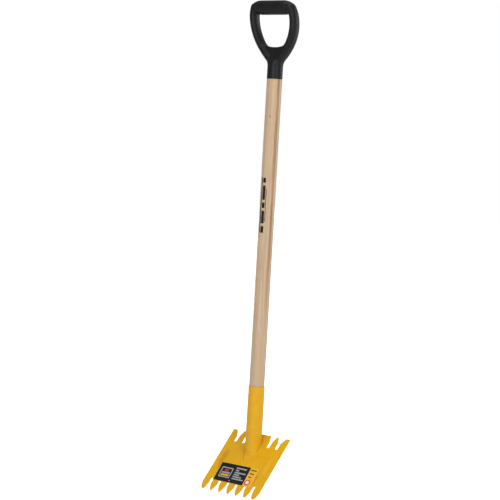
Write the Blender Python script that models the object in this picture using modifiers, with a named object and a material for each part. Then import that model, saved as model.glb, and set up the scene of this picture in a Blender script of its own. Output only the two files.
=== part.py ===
"""Shingle-remover fork: toothed steel blade, tubular socket, ash shaft and moulded D-grip.

The shaft's axis is +Z. The origin is where that axis meets the blade's flat underside. The blade
leans forward and down, towards -Y, and its width runs along X. All sizes are in metres.
"""
import math

import bmesh
import bpy
from mathutils import Matrix, Vector

# Fits
CLEARANCE = 0.0003          # gap between pieces that touch

# Blade, in its own plane: x across, y from the shaft's axis towards the back edge
BLADE_THICKNESS = 0.0025
BLADE_LEAN = math.radians(43.0)   # between the shaft's axis and the blade's plane
BLADE_HALF_WIDTH = 0.0862
TOOTH_PITCH = 0.0254
FRONT_TEETH_PER_SIDE = 3    # beside the one in the middle
TOOTH_TIP_Y = -0.1310
TOOTH_SHOULDER_Y = -0.1135  # where a tooth starts to taper
TOOTH_TIP_RADIUS = 0.0032
CORNER_TIP_RADIUS = 0.0054
GULLET_Y = -0.0975          # closed end of the front slots
GULLET_WIDTH = 0.0082
BACK_EDGE_Y = 0.0438
BACK_GULLET_Y = 0.0099      # closed end of the back slots
BACK_GULLET_WIDTH = 0.0085
BACK_GULLETS_X = (0.0376, 0.0624)
BACK_SHOULDER_Y = 0.0276    # where the back teeth start to taper
BACK_TIP_RADIUS = 0.0030
TAB_TOP_INSET = 0.0050      # how far the middle tab's top corner stands in from its slot
CORNER_TOP_INSET = 0.0085   # the same for the corner blocks
CORNER_RADIUS = 0.0015
TIP_SWEEP_DEG = 67          # how far a rounded tip turns to each side
ARC_STEPS = 6
CORNER_STEPS = 3

# Raised panel pressed into the blade
PANEL_RISE = 0.0040
PANEL_BACK_Y = -0.0114
PANEL_CREST_Y = -0.0356
PANEL_FRONT_Y = -0.0750
PANEL_HALF_WIDTH = 0.0738   # over the side walls, at the crest
PANEL_END_HALF_WIDTH = 0.0645
PANEL_WALL_SPREAD = 0.0240  # plan width of the side wall at the crest
PANEL_PROFILE_POWER = 1.3
PANEL_WALL_POWER = 1.45     # how full the side wall is; 1 is a straight slope
PANEL_GRID = 0.00635        # cell of the pressed sheet

# Shaft
SHAFT_RADIUS = 0.0181
SHAFT_VISIBLE_LENGTH = 0.7260   # from the socket's rim to the sleeve's
SHAFT_FOOT_Z = 0.0300
SHAFT_SIDES = 48
SHAFT_END_CHAMFER = 0.0020

# Socket: steel tube, cut to the blade, with a pointed nose drawn forward at its foot
SOCKET_REVEAL = 0.0013      # how far the tube stands proud of the shaft
SOCKET_WALL = 0.0015
SOCKET_TOP_Z = 0.1540
SOCKET_RADIUS = SHAFT_RADIUS + SOCKET_REVEAL
NOSE_LENGTH = 0.0160
NOSE_HALF_ANGLE = math.radians(42)
NOSE_BLEND = 0.0080         # how far up the tube the nose is drawn out
NOSE_POWER = 1.15
NOSE_REACH_POWER = 1.8      # how pointed the nose is in the blade's plane
SOCKET_SIDES = 48
SOCKET_RING_SHARES = (0.0, 0.03, 0.06, 0.09, 0.13, 0.18, 0.25, 1.0)   # from foot to rim
WELD_LEG = 0.0030
WELD_STANDOFF = 0.0008      # keeps the bead clear of the leaning tube
WELD_TANGENT_STEP = 0.001   # radians either side, to find the bead's direction

# Grip. Its rises are measured up from the lower rim of its sleeve
GRIP_BASE_Z = SOCKET_TOP_Z + SHAFT_VISIBLE_LENGTH
SLEEVE_REVEAL = 0.0003
SLEEVE_RADIUS = SHAFT_RADIUS + SLEEVE_REVEAL
SLEEVE_WALL = 0.0025
SLEEVE_DEPTH = 0.0330       # of the bore that takes the shaft
SLEEVE_RISE = 0.0360        # top of the straight sleeve
BAR_RISE = 0.1646           # axis of the hand bar
BAR_RADIUS = 0.0165
BAR_STRAIGHT = 0.0320       # half of the bar's straight stretch
BAR_END_ROUND = 0.0297
LEG_HALF_SPACING = 0.0589   # at the legs' widest
LEG_WIDEST_RISE = 0.1377
LEG_DROP = 0.1040           # from there down to where the legs' centre lines would meet
LEG_CURL = 0.0770           # the same upwards: how soon the legs turn in to the bar
LEG_POWER = 2.1
LEG_WIDTH = 0.0180          # across the grip
LEG_DEPTH = 0.0286          # front to back
LEG_STEPS = 18
LEG_STEP_POWER = 1.15       # packs the steps a little closer at the foot
OPENING_FLOOR_RISE = 0.0740
WEB_THICKNESS = 0.0200
WEB_STEPS = 8
BAR_END_STEPS = 8
BAR_SIDES = 24
FLOOR_POWER = 2.4           # how squarely the floor of the hand opening meets the legs
LEAN_START_RISE = 0.0387
GRIP_LEAN = 0.0195          # how far the bar stands forward of the shaft's axis
GRIP_LEAN_POWER = 1.5

# Screws through the socket and the sleeve, at the back
SCREW_RADIUS = 0.0024
SCREW_LENGTH = 0.0160
SCREW_HEAD_RADIUS = 0.0046
SCREW_HEAD_HEIGHT = 0.0024
SCREW_HEAD_CROWN = ((0.60, 0.85), (0.92, 0.45))   # shares of the head's radius and height
SCREW_SIDES = 20
SOCKET_SCREW_BELOW_RIM = 0.0340
GRIP_SCREW_RISE = 0.0180

# Label on the blade
LABEL_THICKNESS = 0.0003
LABEL_LEFT_X = -0.0610
LABEL_RIGHT_X = 0.0560
LABEL_BEHIND_WELD = 0.0037  # bare blade between the weld's tip and the label
LABEL_FRONT_Y = -0.1040

CUTTER_REACH = 0.0360       # how far a cutter through the blade stands out on each side

COLLECTION_NAME = "shingle_remover_fork"
CUTTER_COLLECTION_NAME = "cutters"

BLADE_TOP_ON_AXIS = BLADE_THICKNESS / math.sin(BLADE_LEAN)
WELD_TIP_Y = -SOCKET_RADIUS / math.sin(BLADE_LEAN) - NOSE_LENGTH - WELD_STANDOFF - WELD_LEG
LABEL_BACK_Y = WELD_TIP_Y - LABEL_BEHIND_WELD
BLADE_FRAME = (
    Matrix.Translation((0.0, 0.0, BLADE_TOP_ON_AXIS))
    @ Matrix.Rotation(math.pi / 2 - BLADE_LEAN, 4, "X")
)


def clear_scene():
    """Remove every object from the scene."""
    for obj in list(bpy.data.objects):
        bpy.data.objects.remove(obj, do_unlink=True)


def new_collection(name):
    """Make a collection and link it to the scene."""
    collection = bpy.data.collections.new(name)
    bpy.context.scene.collection.children.link(collection)
    return collection


def principled(name, color, roughness, metallic=0.0):
    """Make a material with one Principled BSDF."""
    material = bpy.data.materials.new(name)
    material.use_nodes = True
    shader = material.node_tree.nodes["Principled BSDF"]
    shader.inputs["Base Color"].default_value = (*color, 1.0)
    shader.inputs["Roughness"].default_value = roughness
    shader.inputs["Metallic"].default_value = metallic
    material.diffuse_color = (*color, 1.0)
    return material


def object_from_mesh(name, mesh, collection, matrix=None):
    """Link a mesh as an object."""
    obj = bpy.data.objects.new(name, mesh)
    if matrix is not None:
        obj.matrix_world = matrix
    collection.objects.link(obj)
    return obj


def object_from_bmesh(name, bm, collection, matrix=None):
    """Write a bmesh to a new object."""
    mesh = bpy.data.meshes.new(name)
    bm.to_mesh(mesh)
    bm.free()
    return object_from_mesh(name, mesh, collection, matrix)


def as_cutter(obj):
    """Hide a cutter from renders and show it as wire."""
    obj.hide_render = True
    obj.display_type = "WIRE"
    return obj


def boolean(obj, cutter, operation):
    """Add a Boolean modifier."""
    modifier = obj.modifiers.new(f"{operation.lower()}_{cutter.name}", "BOOLEAN")
    modifier.operation = operation
    modifier.solver = "EXACT"
    modifier.object = cutter


def shade_round(obj, angle=math.radians(35)):
    """Shade an object smooth, with its sharp edges kept."""
    obj.data.shade_smooth()
    obj.data.set_sharp_from_angle(angle=angle)


def turned(name, profile, sides, collection, matrix=None):
    """Turn a profile of (radius, z) points, given top to bottom, about the Z axis."""
    bm = bmesh.new()
    verts = [bm.verts.new((radius, 0.0, z)) for radius, z in profile]
    for start, end in zip(verts, verts[1:]):
        bm.edges.new((start, end))
    obj = object_from_bmesh(name, bm, collection, matrix)
    screw = obj.modifiers.new("turn", "SCREW")
    screw.axis = "Z"
    screw.steps = sides
    screw.render_steps = sides
    screw.use_merge_vertices = True
    screw.merge_threshold = 0.00001
    screw.use_smooth_shade = True
    return obj


def baked_mesh(obj):
    """The evaluated mesh of an object, as a new mesh."""
    depsgraph = bpy.context.evaluated_depsgraph_get()
    return bpy.data.meshes.new_from_object(obj.evaluated_get(depsgraph))


def filled_outline(name, points, half_thickness, collection):
    """A flat closed outline with thickness, as a mesh object."""
    curve = bpy.data.curves.new(name, "CURVE")
    curve.dimensions = "2D"
    curve.fill_mode = "BOTH"
    curve.extrude = half_thickness
    spline = curve.splines.new("POLY")
    spline.points.add(len(points) - 1)
    for point, (x, y) in zip(spline.points, points):
        point.co = (x, y, 0.0, 1.0)
    spline.use_cyclic_u = True
    obj = bpy.data.objects.new(name, curve)
    collection.objects.link(obj)
    mesh = baked_mesh(obj)
    bpy.data.objects.remove(obj, do_unlink=True)
    bm = bmesh.new()
    bm.from_mesh(mesh)
    bmesh.ops.remove_doubles(bm, verts=bm.verts, dist=0.000001)
    bmesh.ops.recalc_face_normals(bm, faces=bm.faces)
    bpy.data.meshes.remove(mesh)
    return object_from_bmesh(name, bm, collection)


def arc(center_x, center_y, radius, start_deg, end_deg, steps=ARC_STEPS):
    """Points along an arc."""
    points = []
    for step in range(steps + 1):
        angle = math.radians(start_deg + (end_deg - start_deg) * step / steps)
        points.append((center_x + radius * math.cos(angle), center_y + radius * math.sin(angle)))
    return points


def panel_height(x, y):
    """Height of the pressed panel above the flat of the blade."""
    if not PANEL_FRONT_Y < y < PANEL_BACK_Y:
        return 0.0
    end_y = PANEL_BACK_Y if y > PANEL_CREST_Y else PANEL_FRONT_Y
    share = (y - end_y) / (PANEL_CREST_Y - end_y)
    wave = math.sin(math.pi / 2 * share)
    swell = wave ** PANEL_PROFILE_POWER
    toe_x = PANEL_END_HALF_WIDTH + (PANEL_HALF_WIDTH - PANEL_END_HALF_WIDTH) * wave
    down_wall = max(0.0, 1.0 - (toe_x - abs(x)) / (PANEL_WALL_SPREAD * swell))
    return PANEL_RISE * swell * max(0.0, 1.0 - down_wall ** PANEL_WALL_POWER)


def on_blade(x, y, height=0.0):
    """World point above the blade's pressed top face."""
    return BLADE_FRAME @ Vector((x, y, panel_height(x, y) + height))


def front_half_outline():
    """Front edge from the middle tooth's tip to the corner tooth, on the +X side."""
    side = (TOOTH_PITCH - GULLET_WIDTH) / 2
    slot_radius = GULLET_WIDTH / 2
    points = []
    for index in range(FRONT_TEETH_PER_SIDE + 1):
        x = index * TOOTH_PITCH
        corner = index == FRONT_TEETH_PER_SIDE
        tip_radius = CORNER_TIP_RADIUS if corner else TOOTH_TIP_RADIUS
        outer = BLADE_HALF_WIDTH - x if corner else side
        tip_y = TOOTH_TIP_Y + tip_radius
        if index:
            points.append((x - side, TOOTH_SHOULDER_Y))
            points += arc(x, tip_y, tip_radius, 270 - TIP_SWEEP_DEG, 270, ARC_STEPS // 2)
        points += arc(x, tip_y, tip_radius, 270, 270 + TIP_SWEEP_DEG, ARC_STEPS // 2)[1 if index else 0:]
        points.append((x + outer, TOOTH_SHOULDER_Y))
        if not corner:
            slot_x = x + TOOTH_PITCH / 2
            points += arc(slot_x, GULLET_Y - slot_radius, slot_radius, 180, 0)
    return points


def back_half_outline():
    """Back edge from the corner block to the middle tab, on the +X side."""
    slot_radius = BACK_GULLET_WIDTH / 2
    inner_x, outer_x = BACK_GULLETS_X
    points = arc(
        BLADE_HALF_WIDTH - CORNER_RADIUS, BACK_EDGE_Y - CORNER_RADIUS, CORNER_RADIUS, 0, 90, CORNER_STEPS,
    )
    points.append((outer_x + slot_radius + CORNER_TOP_INSET, BACK_EDGE_Y))
    points.append((outer_x + slot_radius, BACK_SHOULDER_Y))
    points += arc(outer_x, BACK_GULLET_Y + slot_radius, slot_radius, 0, -180)
    tooth_x = (inner_x + outer_x) / 2
    points.append((outer_x - slot_radius, BACK_SHOULDER_Y))
    points += arc(
        tooth_x, BACK_EDGE_Y - BACK_TIP_RADIUS, BACK_TIP_RADIUS, 90 - TIP_SWEEP_DEG, 90 + TIP_SWEEP_DEG,
    )
    points.append((inner_x + slot_radius, BACK_SHOULDER_Y))
    points += arc(inner_x, BACK_GULLET_Y + slot_radius, slot_radius, 0, -180)
    points.append((inner_x - slot_radius, BACK_SHOULDER_Y))
    points.append((inner_x - slot_radius - TAB_TOP_INSET, BACK_EDGE_Y))
    return points


def pressed_sheet(name, low, high, bottom, top, collection):
    """A sheet that follows the pressed panel over grid cells covering low to high."""
    columns = [math.floor(low[0] / PANEL_GRID), math.ceil(high[0] / PANEL_GRID)]
    rows = [math.floor(low[1] / PANEL_GRID), math.ceil(high[1] / PANEL_GRID)]
    across = columns[1] - columns[0]
    along = rows[1] - rows[0]
    center = Matrix.Translation((sum(columns) * PANEL_GRID / 2, sum(rows) * PANEL_GRID / 2, 0.0))
    stretch = Matrix.Diagonal((across * PANEL_GRID / 2, along * PANEL_GRID / 2, 1.0, 1.0))
    bm = bmesh.new()
    bmesh.ops.create_grid(bm, x_segments=across, y_segments=along, size=1.0, matrix=center @ stretch)
    floor_faces = list(bm.faces)
    extruded = bmesh.ops.extrude_face_region(bm, geom=floor_faces, use_keep_orig=True)
    lifted = {item for item in extruded["geom"] if isinstance(item, bmesh.types.BMVert)}
    for vert in bm.verts:
        vert.co.z = panel_height(vert.co.x, vert.co.y) + (top if vert in lifted else bottom)
    bmesh.ops.triangulate(bm, faces=bm.faces)
    bmesh.ops.recalc_face_normals(bm, faces=bm.faces)
    return object_from_bmesh(name, bm, collection, BLADE_FRAME)


def build_blade(parts, cutters):
    """Steel blade: a pressed sheet cut to the toothed outline."""
    right = front_half_outline() + back_half_outline()
    left = [(-x, y) for x, y in reversed(right) if x > 0.000001]
    outline = filled_outline("blade_outline", right + left, CUTTER_REACH, cutters)
    outline.matrix_world = BLADE_FRAME
    as_cutter(outline)
    margin = PANEL_GRID / 2
    low = (-BLADE_HALF_WIDTH - margin, TOOTH_TIP_Y - margin)
    high = (BLADE_HALF_WIDTH + margin, BACK_EDGE_Y + margin)
    blade = pressed_sheet("blade", low, high, -BLADE_THICKNESS, 0.0, parts)
    boolean(blade, outline, "INTERSECT")
    return blade


def build_label(parts, cutters):
    """Printed sticker that follows the pressed panel."""
    bm = bmesh.new()
    bmesh.ops.create_cube(bm, size=1.0)
    width = LABEL_RIGHT_X - LABEL_LEFT_X
    length = LABEL_BACK_Y - LABEL_FRONT_Y
    place = Matrix.Translation(((LABEL_LEFT_X + LABEL_RIGHT_X) / 2, (LABEL_BACK_Y + LABEL_FRONT_Y) / 2, 0.0))
    stretch = Matrix.Diagonal((width, length, 2 * CUTTER_REACH, 1.0))
    bmesh.ops.transform(bm, matrix=place @ stretch, verts=bm.verts)
    window = as_cutter(object_from_bmesh("label_window", bm, cutters, BLADE_FRAME))
    label = pressed_sheet(
        "label", (LABEL_LEFT_X, LABEL_FRONT_Y), (LABEL_RIGHT_X, LABEL_BACK_Y),
        CLEARANCE, CLEARANCE + LABEL_THICKNESS, parts,
    )
    boolean(label, window, "INTERSECT")
    return label


def foot_point(angle, radius, nose):
    """Foot of the socket in the blade's plane. Angle 0 is the front."""
    reach = max(0.0, 1.0 - abs(angle) / NOSE_HALF_ANGLE) ** NOSE_REACH_POWER
    return radius * math.sin(angle), -radius / math.sin(BLADE_LEAN) * math.cos(angle) - nose * reach


def socket_point(angle, radius, nose, rise):
    """Point on the socket's wall, a share of the way from its foot to its rim."""
    foot = on_blade(*foot_point(angle, radius, nose), CLEARANCE)
    straight = Vector((radius * math.sin(angle), -radius * math.cos(angle), 0.0))
    blend_top = -radius * math.cos(angle) / math.tan(BLADE_LEAN) + BLADE_TOP_ON_AXIS + NOSE_BLEND
    z = foot.z + (SOCKET_TOP_Z - foot.z) * rise
    share = min(1.0, max(0.0, (blend_top - z) / (blend_top - foot.z)))
    pull = share ** NOSE_POWER
    return Vector((
        straight.x + (foot.x - straight.x) * pull,
        straight.y + (foot.y - straight.y) * pull,
        z,
    ))


def loft_ring(bm, rings):
    """Join closed rings of points into one closed surface that ends where it starts."""
    vert_rings = [[bm.verts.new(point) for point in ring] for ring in rings]
    for lower, upper in zip(vert_rings, vert_rings[1:] + vert_rings[:1]):
        for index in range(len(lower)):
            following = (index + 1) % len(lower)
            bm.faces.new((lower[index], lower[following], upper[following], upper[index]))
    bmesh.ops.triangulate(bm, faces=bm.faces)
    bmesh.ops.recalc_face_normals(bm, faces=bm.faces)


def socket_angles():
    """Angles round the socket, 0 at the front."""
    return [2 * math.pi * (index / SOCKET_SIDES - 0.5) for index in range(SOCKET_SIDES)]


def build_socket(parts):
    """Steel tube, cut to the blade, with its nose drawn forward."""
    inner_nose = NOSE_LENGTH - 2 * SOCKET_WALL
    rings = [
        [socket_point(a, SOCKET_RADIUS, NOSE_LENGTH, share) for a in socket_angles()]
        for share in SOCKET_RING_SHARES
    ]
    rings += [
        [socket_point(a, SOCKET_RADIUS - SOCKET_WALL, inner_nose, share) for a in socket_angles()]
        for share in reversed(SOCKET_RING_SHARES)
    ]
    bm = bmesh.new()
    loft_ring(bm, rings)
    socket = object_from_bmesh("socket", bm, parts)
    shade_round(socket)
    return socket


def build_weld(parts):
    """Bead of weld round the foot of the socket."""
    inner, outer, upper = [], [], []
    for angle in socket_angles():
        x, y = foot_point(angle, SOCKET_RADIUS, NOSE_LENGTH)
        next_x, next_y = foot_point(angle + WELD_TANGENT_STEP, SOCKET_RADIUS, NOSE_LENGTH)
        last_x, last_y = foot_point(angle - WELD_TANGENT_STEP, SOCKET_RADIUS, NOSE_LENGTH)
        outward = Vector((next_y - last_y, last_x - next_x)).normalized()
        near = WELD_STANDOFF
        far = WELD_STANDOFF + WELD_LEG
        inner.append(on_blade(x + near * outward.x, y + near * outward.y, CLEARANCE))
        outer.append(on_blade(x + far * outward.x, y + far * outward.y, CLEARANCE))
        wall = socket_point(angle, SOCKET_RADIUS, NOSE_LENGTH, WELD_LEG / SOCKET_TOP_Z)
        flat_outward = Vector((math.sin(angle), -math.cos(angle), 0.0))
        upper.append(wall + flat_outward * 2 * CLEARANCE)
    bm = bmesh.new()
    loft_ring(bm, [inner, outer, upper])
    weld = object_from_bmesh("socket_weld", bm, parts)
    shade_round(weld, math.radians(60))
    return weld


def build_shaft(parts):
    """Turned ash shaft with its ends let into the socket and the sleeve."""
    foot_radius = SOCKET_RADIUS - SOCKET_WALL - CLEARANCE
    head_radius = SLEEVE_RADIUS - SLEEVE_WALL - CLEARANCE
    head_z = GRIP_BASE_Z + SLEEVE_DEPTH - CLEARANCE
    profile = [
        (0.0, head_z),
        (head_radius - SHAFT_END_CHAMFER, head_z),
        (head_radius, head_z - SHAFT_END_CHAMFER),
        (head_radius, GRIP_BASE_Z - CLEARANCE),
        (SHAFT_RADIUS, GRIP_BASE_Z - CLEARANCE),
        (SHAFT_RADIUS, SOCKET_TOP_Z + CLEARANCE),
        (foot_radius, SOCKET_TOP_Z + CLEARANCE),
        (foot_radius, SHAFT_FOOT_Z + SHAFT_END_CHAMFER),
        (foot_radius - SHAFT_END_CHAMFER, SHAFT_FOOT_Z),
        (0.0, SHAFT_FOOT_Z),
    ]
    return turned("shaft", profile, SHAFT_SIDES, parts)


def leg_x(rise):
    """Distance of a leg's centre line from the middle, at a rise above the sleeve's rim."""
    reach = LEG_CURL if rise > LEG_WIDEST_RISE else LEG_DROP
    return LEG_HALF_SPACING * (1.0 - (abs(rise - LEG_WIDEST_RISE) / reach) ** LEG_POWER)


def leg_line():
    """Centre line of one leg, from the sleeve up to the hand bar, as (x, z) points."""
    low = LEG_WIDEST_RISE - LEG_DROP
    points = []
    for step in range(LEG_STEPS + 1):
        rise = low + (BAR_RISE - low) * (step / LEG_STEPS) ** LEG_STEP_POWER
        points.append((leg_x(rise), GRIP_BASE_Z + rise))
    return points


def build_leg(side, cutters):
    """One leg as a bent bar of oval section. side is 1 for +X and -1 for -X."""
    name = "grip_leg_right" if side > 0 else "grip_leg_left"
    curve = bpy.data.curves.new(name, "CURVE")
    curve.dimensions = "3D"
    curve.bevel_depth = LEG_WIDTH / 2
    curve.bevel_resolution = 3
    curve.use_fill_caps = True
    points = leg_line()
    spline = curve.splines.new("POLY")
    spline.points.add(len(points) - 1)
    for point, (x, z) in zip(spline.points, points):
        point.co = (side * x, 0.0, z, 1.0)
    obj = bpy.data.objects.new(name, curve)
    cutters.objects.link(obj)
    mesh = baked_mesh(obj)
    bpy.data.objects.remove(obj, do_unlink=True)
    bm = bmesh.new()
    bm.from_mesh(mesh)
    bpy.data.meshes.remove(mesh)
    bmesh.ops.remove_doubles(bm, verts=bm.verts, dist=0.00001)
    bmesh.ops.scale(bm, vec=(1.0, LEG_DEPTH / LEG_WIDTH, 1.0), verts=bm.verts)
    bmesh.ops.recalc_face_normals(bm, faces=bm.faces)
    return as_cutter(object_from_bmesh(name, bm, cutters))


def build_bar(cutters):
    """Hand bar with long rounded ends, turned about X."""
    profile = []
    for step in range(BAR_END_STEPS + 1):
        angle = math.pi / 2 * step / BAR_END_STEPS
        profile.append((BAR_RADIUS * math.sin(angle), BAR_STRAIGHT + BAR_END_ROUND * math.cos(angle)))
    profile += [(radius, -z) for radius, z in reversed(profile)]
    matrix = Matrix.Translation((0.0, 0.0, GRIP_BASE_Z + BAR_RISE)) @ Matrix.Rotation(math.pi / 2, 4, "Y")
    return as_cutter(turned("grip_bar", profile, BAR_SIDES, cutters, matrix))


def build_web(cutters):
    """Web between the legs, from the sleeve up to the floor of the hand opening."""
    low = SLEEVE_RISE - SLEEVE_WALL
    high = OPENING_FLOOR_RISE + LEG_WIDTH / 2
    side = []
    for step in range(WEB_STEPS + 1):
        rise = low + (high - low) * step / WEB_STEPS
        side.append((max(leg_x(rise), LEG_WIDTH / 4), GRIP_BASE_Z + rise))
    floor = []
    top_x = side[-1][0]
    for step in range(1, WEB_STEPS + 1):
        x = top_x * (1.0 - step / WEB_STEPS)
        floor.append((x, GRIP_BASE_Z + OPENING_FLOOR_RISE + LEG_WIDTH / 2 * (x / top_x) ** FLOOR_POWER))
    points = side + floor
    outline = points + [(-x, z) for x, z in reversed(points[:-1])]
    web = filled_outline("grip_web", outline, WEB_THICKNESS / 2, cutters)
    web.matrix_world = Matrix.Rotation(math.pi / 2, 4, "X")
    return as_cutter(web)


def build_bore(cutters):
    """Bore of the sleeve."""
    radius = SLEEVE_RADIUS - SLEEVE_WALL
    profile = [(0.0, SLEEVE_DEPTH), (radius, SLEEVE_DEPTH), (radius, -SLEEVE_WALL), (0.0, -SLEEVE_WALL)]
    place = Matrix.Translation((0.0, 0.0, GRIP_BASE_Z))
    return as_cutter(turned("grip_bore", profile, SHAFT_SIDES, cutters, place))


def grip_lean(z):
    """How far the grip stands forward at a height."""
    rise = z - GRIP_BASE_Z
    share = max(0.0, (rise - LEAN_START_RISE) / (BAR_RISE - LEAN_START_RISE))
    return -GRIP_LEAN * share ** GRIP_LEAN_POWER


def build_grip(parts, cutters):
    """Moulded D-grip: sleeve, web, two legs and a hand bar in one piece."""
    shoulder = GRIP_BASE_Z + SLEEVE_RISE
    profile = [
        (0.0, shoulder + SLEEVE_RADIUS),
        (SLEEVE_RADIUS * math.cos(math.pi / 4), shoulder + SLEEVE_RADIUS * math.sin(math.pi / 4)),
        (SLEEVE_RADIUS, shoulder),
        (SLEEVE_RADIUS, GRIP_BASE_Z),
        (0.0, GRIP_BASE_Z),
    ]
    body = turned("grip_body", profile, SHAFT_SIDES, cutters)
    for piece in (build_web(cutters), build_leg(1, cutters), build_leg(-1, cutters), build_bar(cutters)):
        boolean(body, piece, "UNION")
    boolean(body, build_bore(cutters), "DIFFERENCE")
    mesh = baked_mesh(body)
    bpy.data.objects.remove(body, do_unlink=True)
    bm = bmesh.new()
    bm.from_mesh(mesh)
    bpy.data.meshes.remove(mesh)
    bmesh.ops.remove_doubles(bm, verts=bm.verts, dist=0.00001)
    bmesh.ops.triangulate(bm, faces=bm.faces)
    for vert in bm.verts:
        vert.co.y += grip_lean(vert.co.z)
    grip = object_from_bmesh("grip", bm, parts)
    shade_round(grip)
    return grip


def build_screw(name, z, seat_radius, parts, cutters):
    """Pan-head screw driven in from the back, with the cutter that clears it."""
    face = seat_radius + CLEARANCE
    profile = [
        (0.0, face + SCREW_HEAD_HEIGHT),
        *((SCREW_HEAD_RADIUS * across, face + SCREW_HEAD_HEIGHT * up) for across, up in SCREW_HEAD_CROWN),
        (SCREW_HEAD_RADIUS, face),
        (SCREW_RADIUS, face),
        (SCREW_RADIUS, face - SCREW_LENGTH),
        (0.0, face - SCREW_LENGTH - SCREW_RADIUS),
    ]
    hole = [
        (0.0, face + SCREW_HEAD_HEIGHT),
        (SCREW_RADIUS + CLEARANCE, face + SCREW_HEAD_HEIGHT),
        (SCREW_RADIUS + CLEARANCE, face - SCREW_LENGTH - CLEARANCE),
        (0.0, face - SCREW_LENGTH - SCREW_RADIUS - 2 * CLEARANCE),
    ]
    matrix = Matrix.Translation((0.0, 0.0, z)) @ Matrix.Rotation(-math.pi / 2, 4, "X")
    screw = turned(name, profile, SCREW_SIDES, parts, matrix)
    cutter = as_cutter(turned(f"{name}_hole", hole, SCREW_SIDES, cutters, matrix))
    return screw, cutter


def main():
    """Build every piece."""
    clear_scene()
    parts = new_collection(COLLECTION_NAME)
    cutters = new_collection(CUTTER_COLLECTION_NAME)
    paint = principled("yellow_paint", (0.70, 0.38, 0.03), 0.35)
    wood = principled("ash_wood", (0.58, 0.39, 0.23), 0.5)
    plastic = principled("black_plastic", (0.025, 0.025, 0.027), 0.45)
    zinc = principled("zinc_plate", (0.60, 0.60, 0.58), 0.35, 1.0)
    print_film = principled("label_film", (0.80, 0.45, 0.03), 0.4)

    socket_screw, socket_hole = build_screw(
        "socket_screw", SOCKET_TOP_Z - SOCKET_SCREW_BELOW_RIM, SOCKET_RADIUS, parts, cutters,
    )
    grip_screw, grip_hole = build_screw(
        "grip_screw", GRIP_BASE_Z + GRIP_SCREW_RISE, SLEEVE_RADIUS, parts, cutters,
    )
    blade = build_blade(parts, cutters)
    socket = build_socket(parts)
    weld = build_weld(parts)
    shaft = build_shaft(parts)
    grip = build_grip(parts, cutters)
    label = build_label(parts, cutters)
    boolean(socket, socket_hole, "DIFFERENCE")
    boolean(grip, grip_hole, "DIFFERENCE")
    boolean(shaft, socket_hole, "DIFFERENCE")
    boolean(shaft, grip_hole, "DIFFERENCE")

    finishes = {
        blade: paint, socket: paint, weld: paint, shaft: wood, grip: plastic,
        socket_screw: zinc, grip_screw: zinc, label: print_film,
    }
    for obj, material in finishes.items():
        obj.data.materials.append(material)


main()
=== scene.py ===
"""Shingle-remover fork: the finished look of every piece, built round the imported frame.

The shaft's axis is +Z and the blade leans forward and down, towards -Y. All sizes are in metres.
Points written "in the blade's plane" have x across the blade and y from the shaft's axis towards
the back edge.
"""
import logging
import math
from dataclasses import dataclass, field
from enum import Enum
from typing import Callable, Iterable, Sequence

import bmesh
import bpy
import numpy as np
from mathutils import Matrix, Vector
from mathutils.geometry import delaunay_2d_cdt


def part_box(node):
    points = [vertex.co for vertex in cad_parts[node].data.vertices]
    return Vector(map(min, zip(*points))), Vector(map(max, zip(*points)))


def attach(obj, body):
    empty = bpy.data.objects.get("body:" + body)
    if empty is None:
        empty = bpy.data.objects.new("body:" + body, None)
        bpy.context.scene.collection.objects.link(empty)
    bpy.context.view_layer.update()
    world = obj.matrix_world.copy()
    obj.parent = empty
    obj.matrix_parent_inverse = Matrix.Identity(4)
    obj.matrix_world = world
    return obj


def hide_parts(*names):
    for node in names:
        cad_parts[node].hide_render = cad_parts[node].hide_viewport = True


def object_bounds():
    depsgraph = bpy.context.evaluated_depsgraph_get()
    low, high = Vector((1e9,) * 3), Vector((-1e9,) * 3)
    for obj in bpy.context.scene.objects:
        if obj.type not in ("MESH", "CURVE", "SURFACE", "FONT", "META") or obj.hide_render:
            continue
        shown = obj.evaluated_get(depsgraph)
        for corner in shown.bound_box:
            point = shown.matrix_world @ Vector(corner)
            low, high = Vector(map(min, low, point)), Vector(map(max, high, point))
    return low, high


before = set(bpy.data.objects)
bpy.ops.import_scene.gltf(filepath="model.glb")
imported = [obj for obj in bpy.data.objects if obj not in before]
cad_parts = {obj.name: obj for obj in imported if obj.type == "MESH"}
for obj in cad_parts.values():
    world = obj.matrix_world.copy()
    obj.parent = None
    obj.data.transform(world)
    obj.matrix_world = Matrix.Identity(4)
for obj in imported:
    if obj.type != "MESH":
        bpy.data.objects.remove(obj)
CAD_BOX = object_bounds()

LOG = logging.getLogger("fork")

Point2 = tuple[float, float]
Colour = tuple[float, float, float]

MM = 0.001
BODY = "root"
#: Room left between two pieces that touch.
GAP = 0.3 * MM
#: Room left between the lowest tooth and the floor.
FLOOR_CLEARANCE = 0.2 * MM
#: How near a filling point may stand to an outline, in spacings.
CLEAR_OF_OUTLINE = 0.45
#: Chords in each rounded edge of a plate.
EDGE_STEPS = 3
#: How far wear reaches in from a plate's rim, in edge radii.
WEAR_REACH = 2.2
#: How strongly large flats hold the shading of the vertices they share.
FLAT_WEIGHT = 90
#: The corners of a cubic cell, in steps along each axis.
CORNERS = tuple((i, j, k) for i in (0, 1) for j in (0, 1) for k in (0, 1))
#: Radius of the tiny flat that closes a turned piece's end.
POINT_RADIUS = 0.5 * MM


class Ink(Enum):
    """Printed colours on the film of the label and on the shaft."""

    YELLOW = "film_yellow"
    BLACK = "film_black"
    GREY = "film_grey"
    WHITE = "film_white"
    RED = "film_red"
    ORANGE = "film_orange"


# ---------------------------------------------------------------- materials


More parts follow.
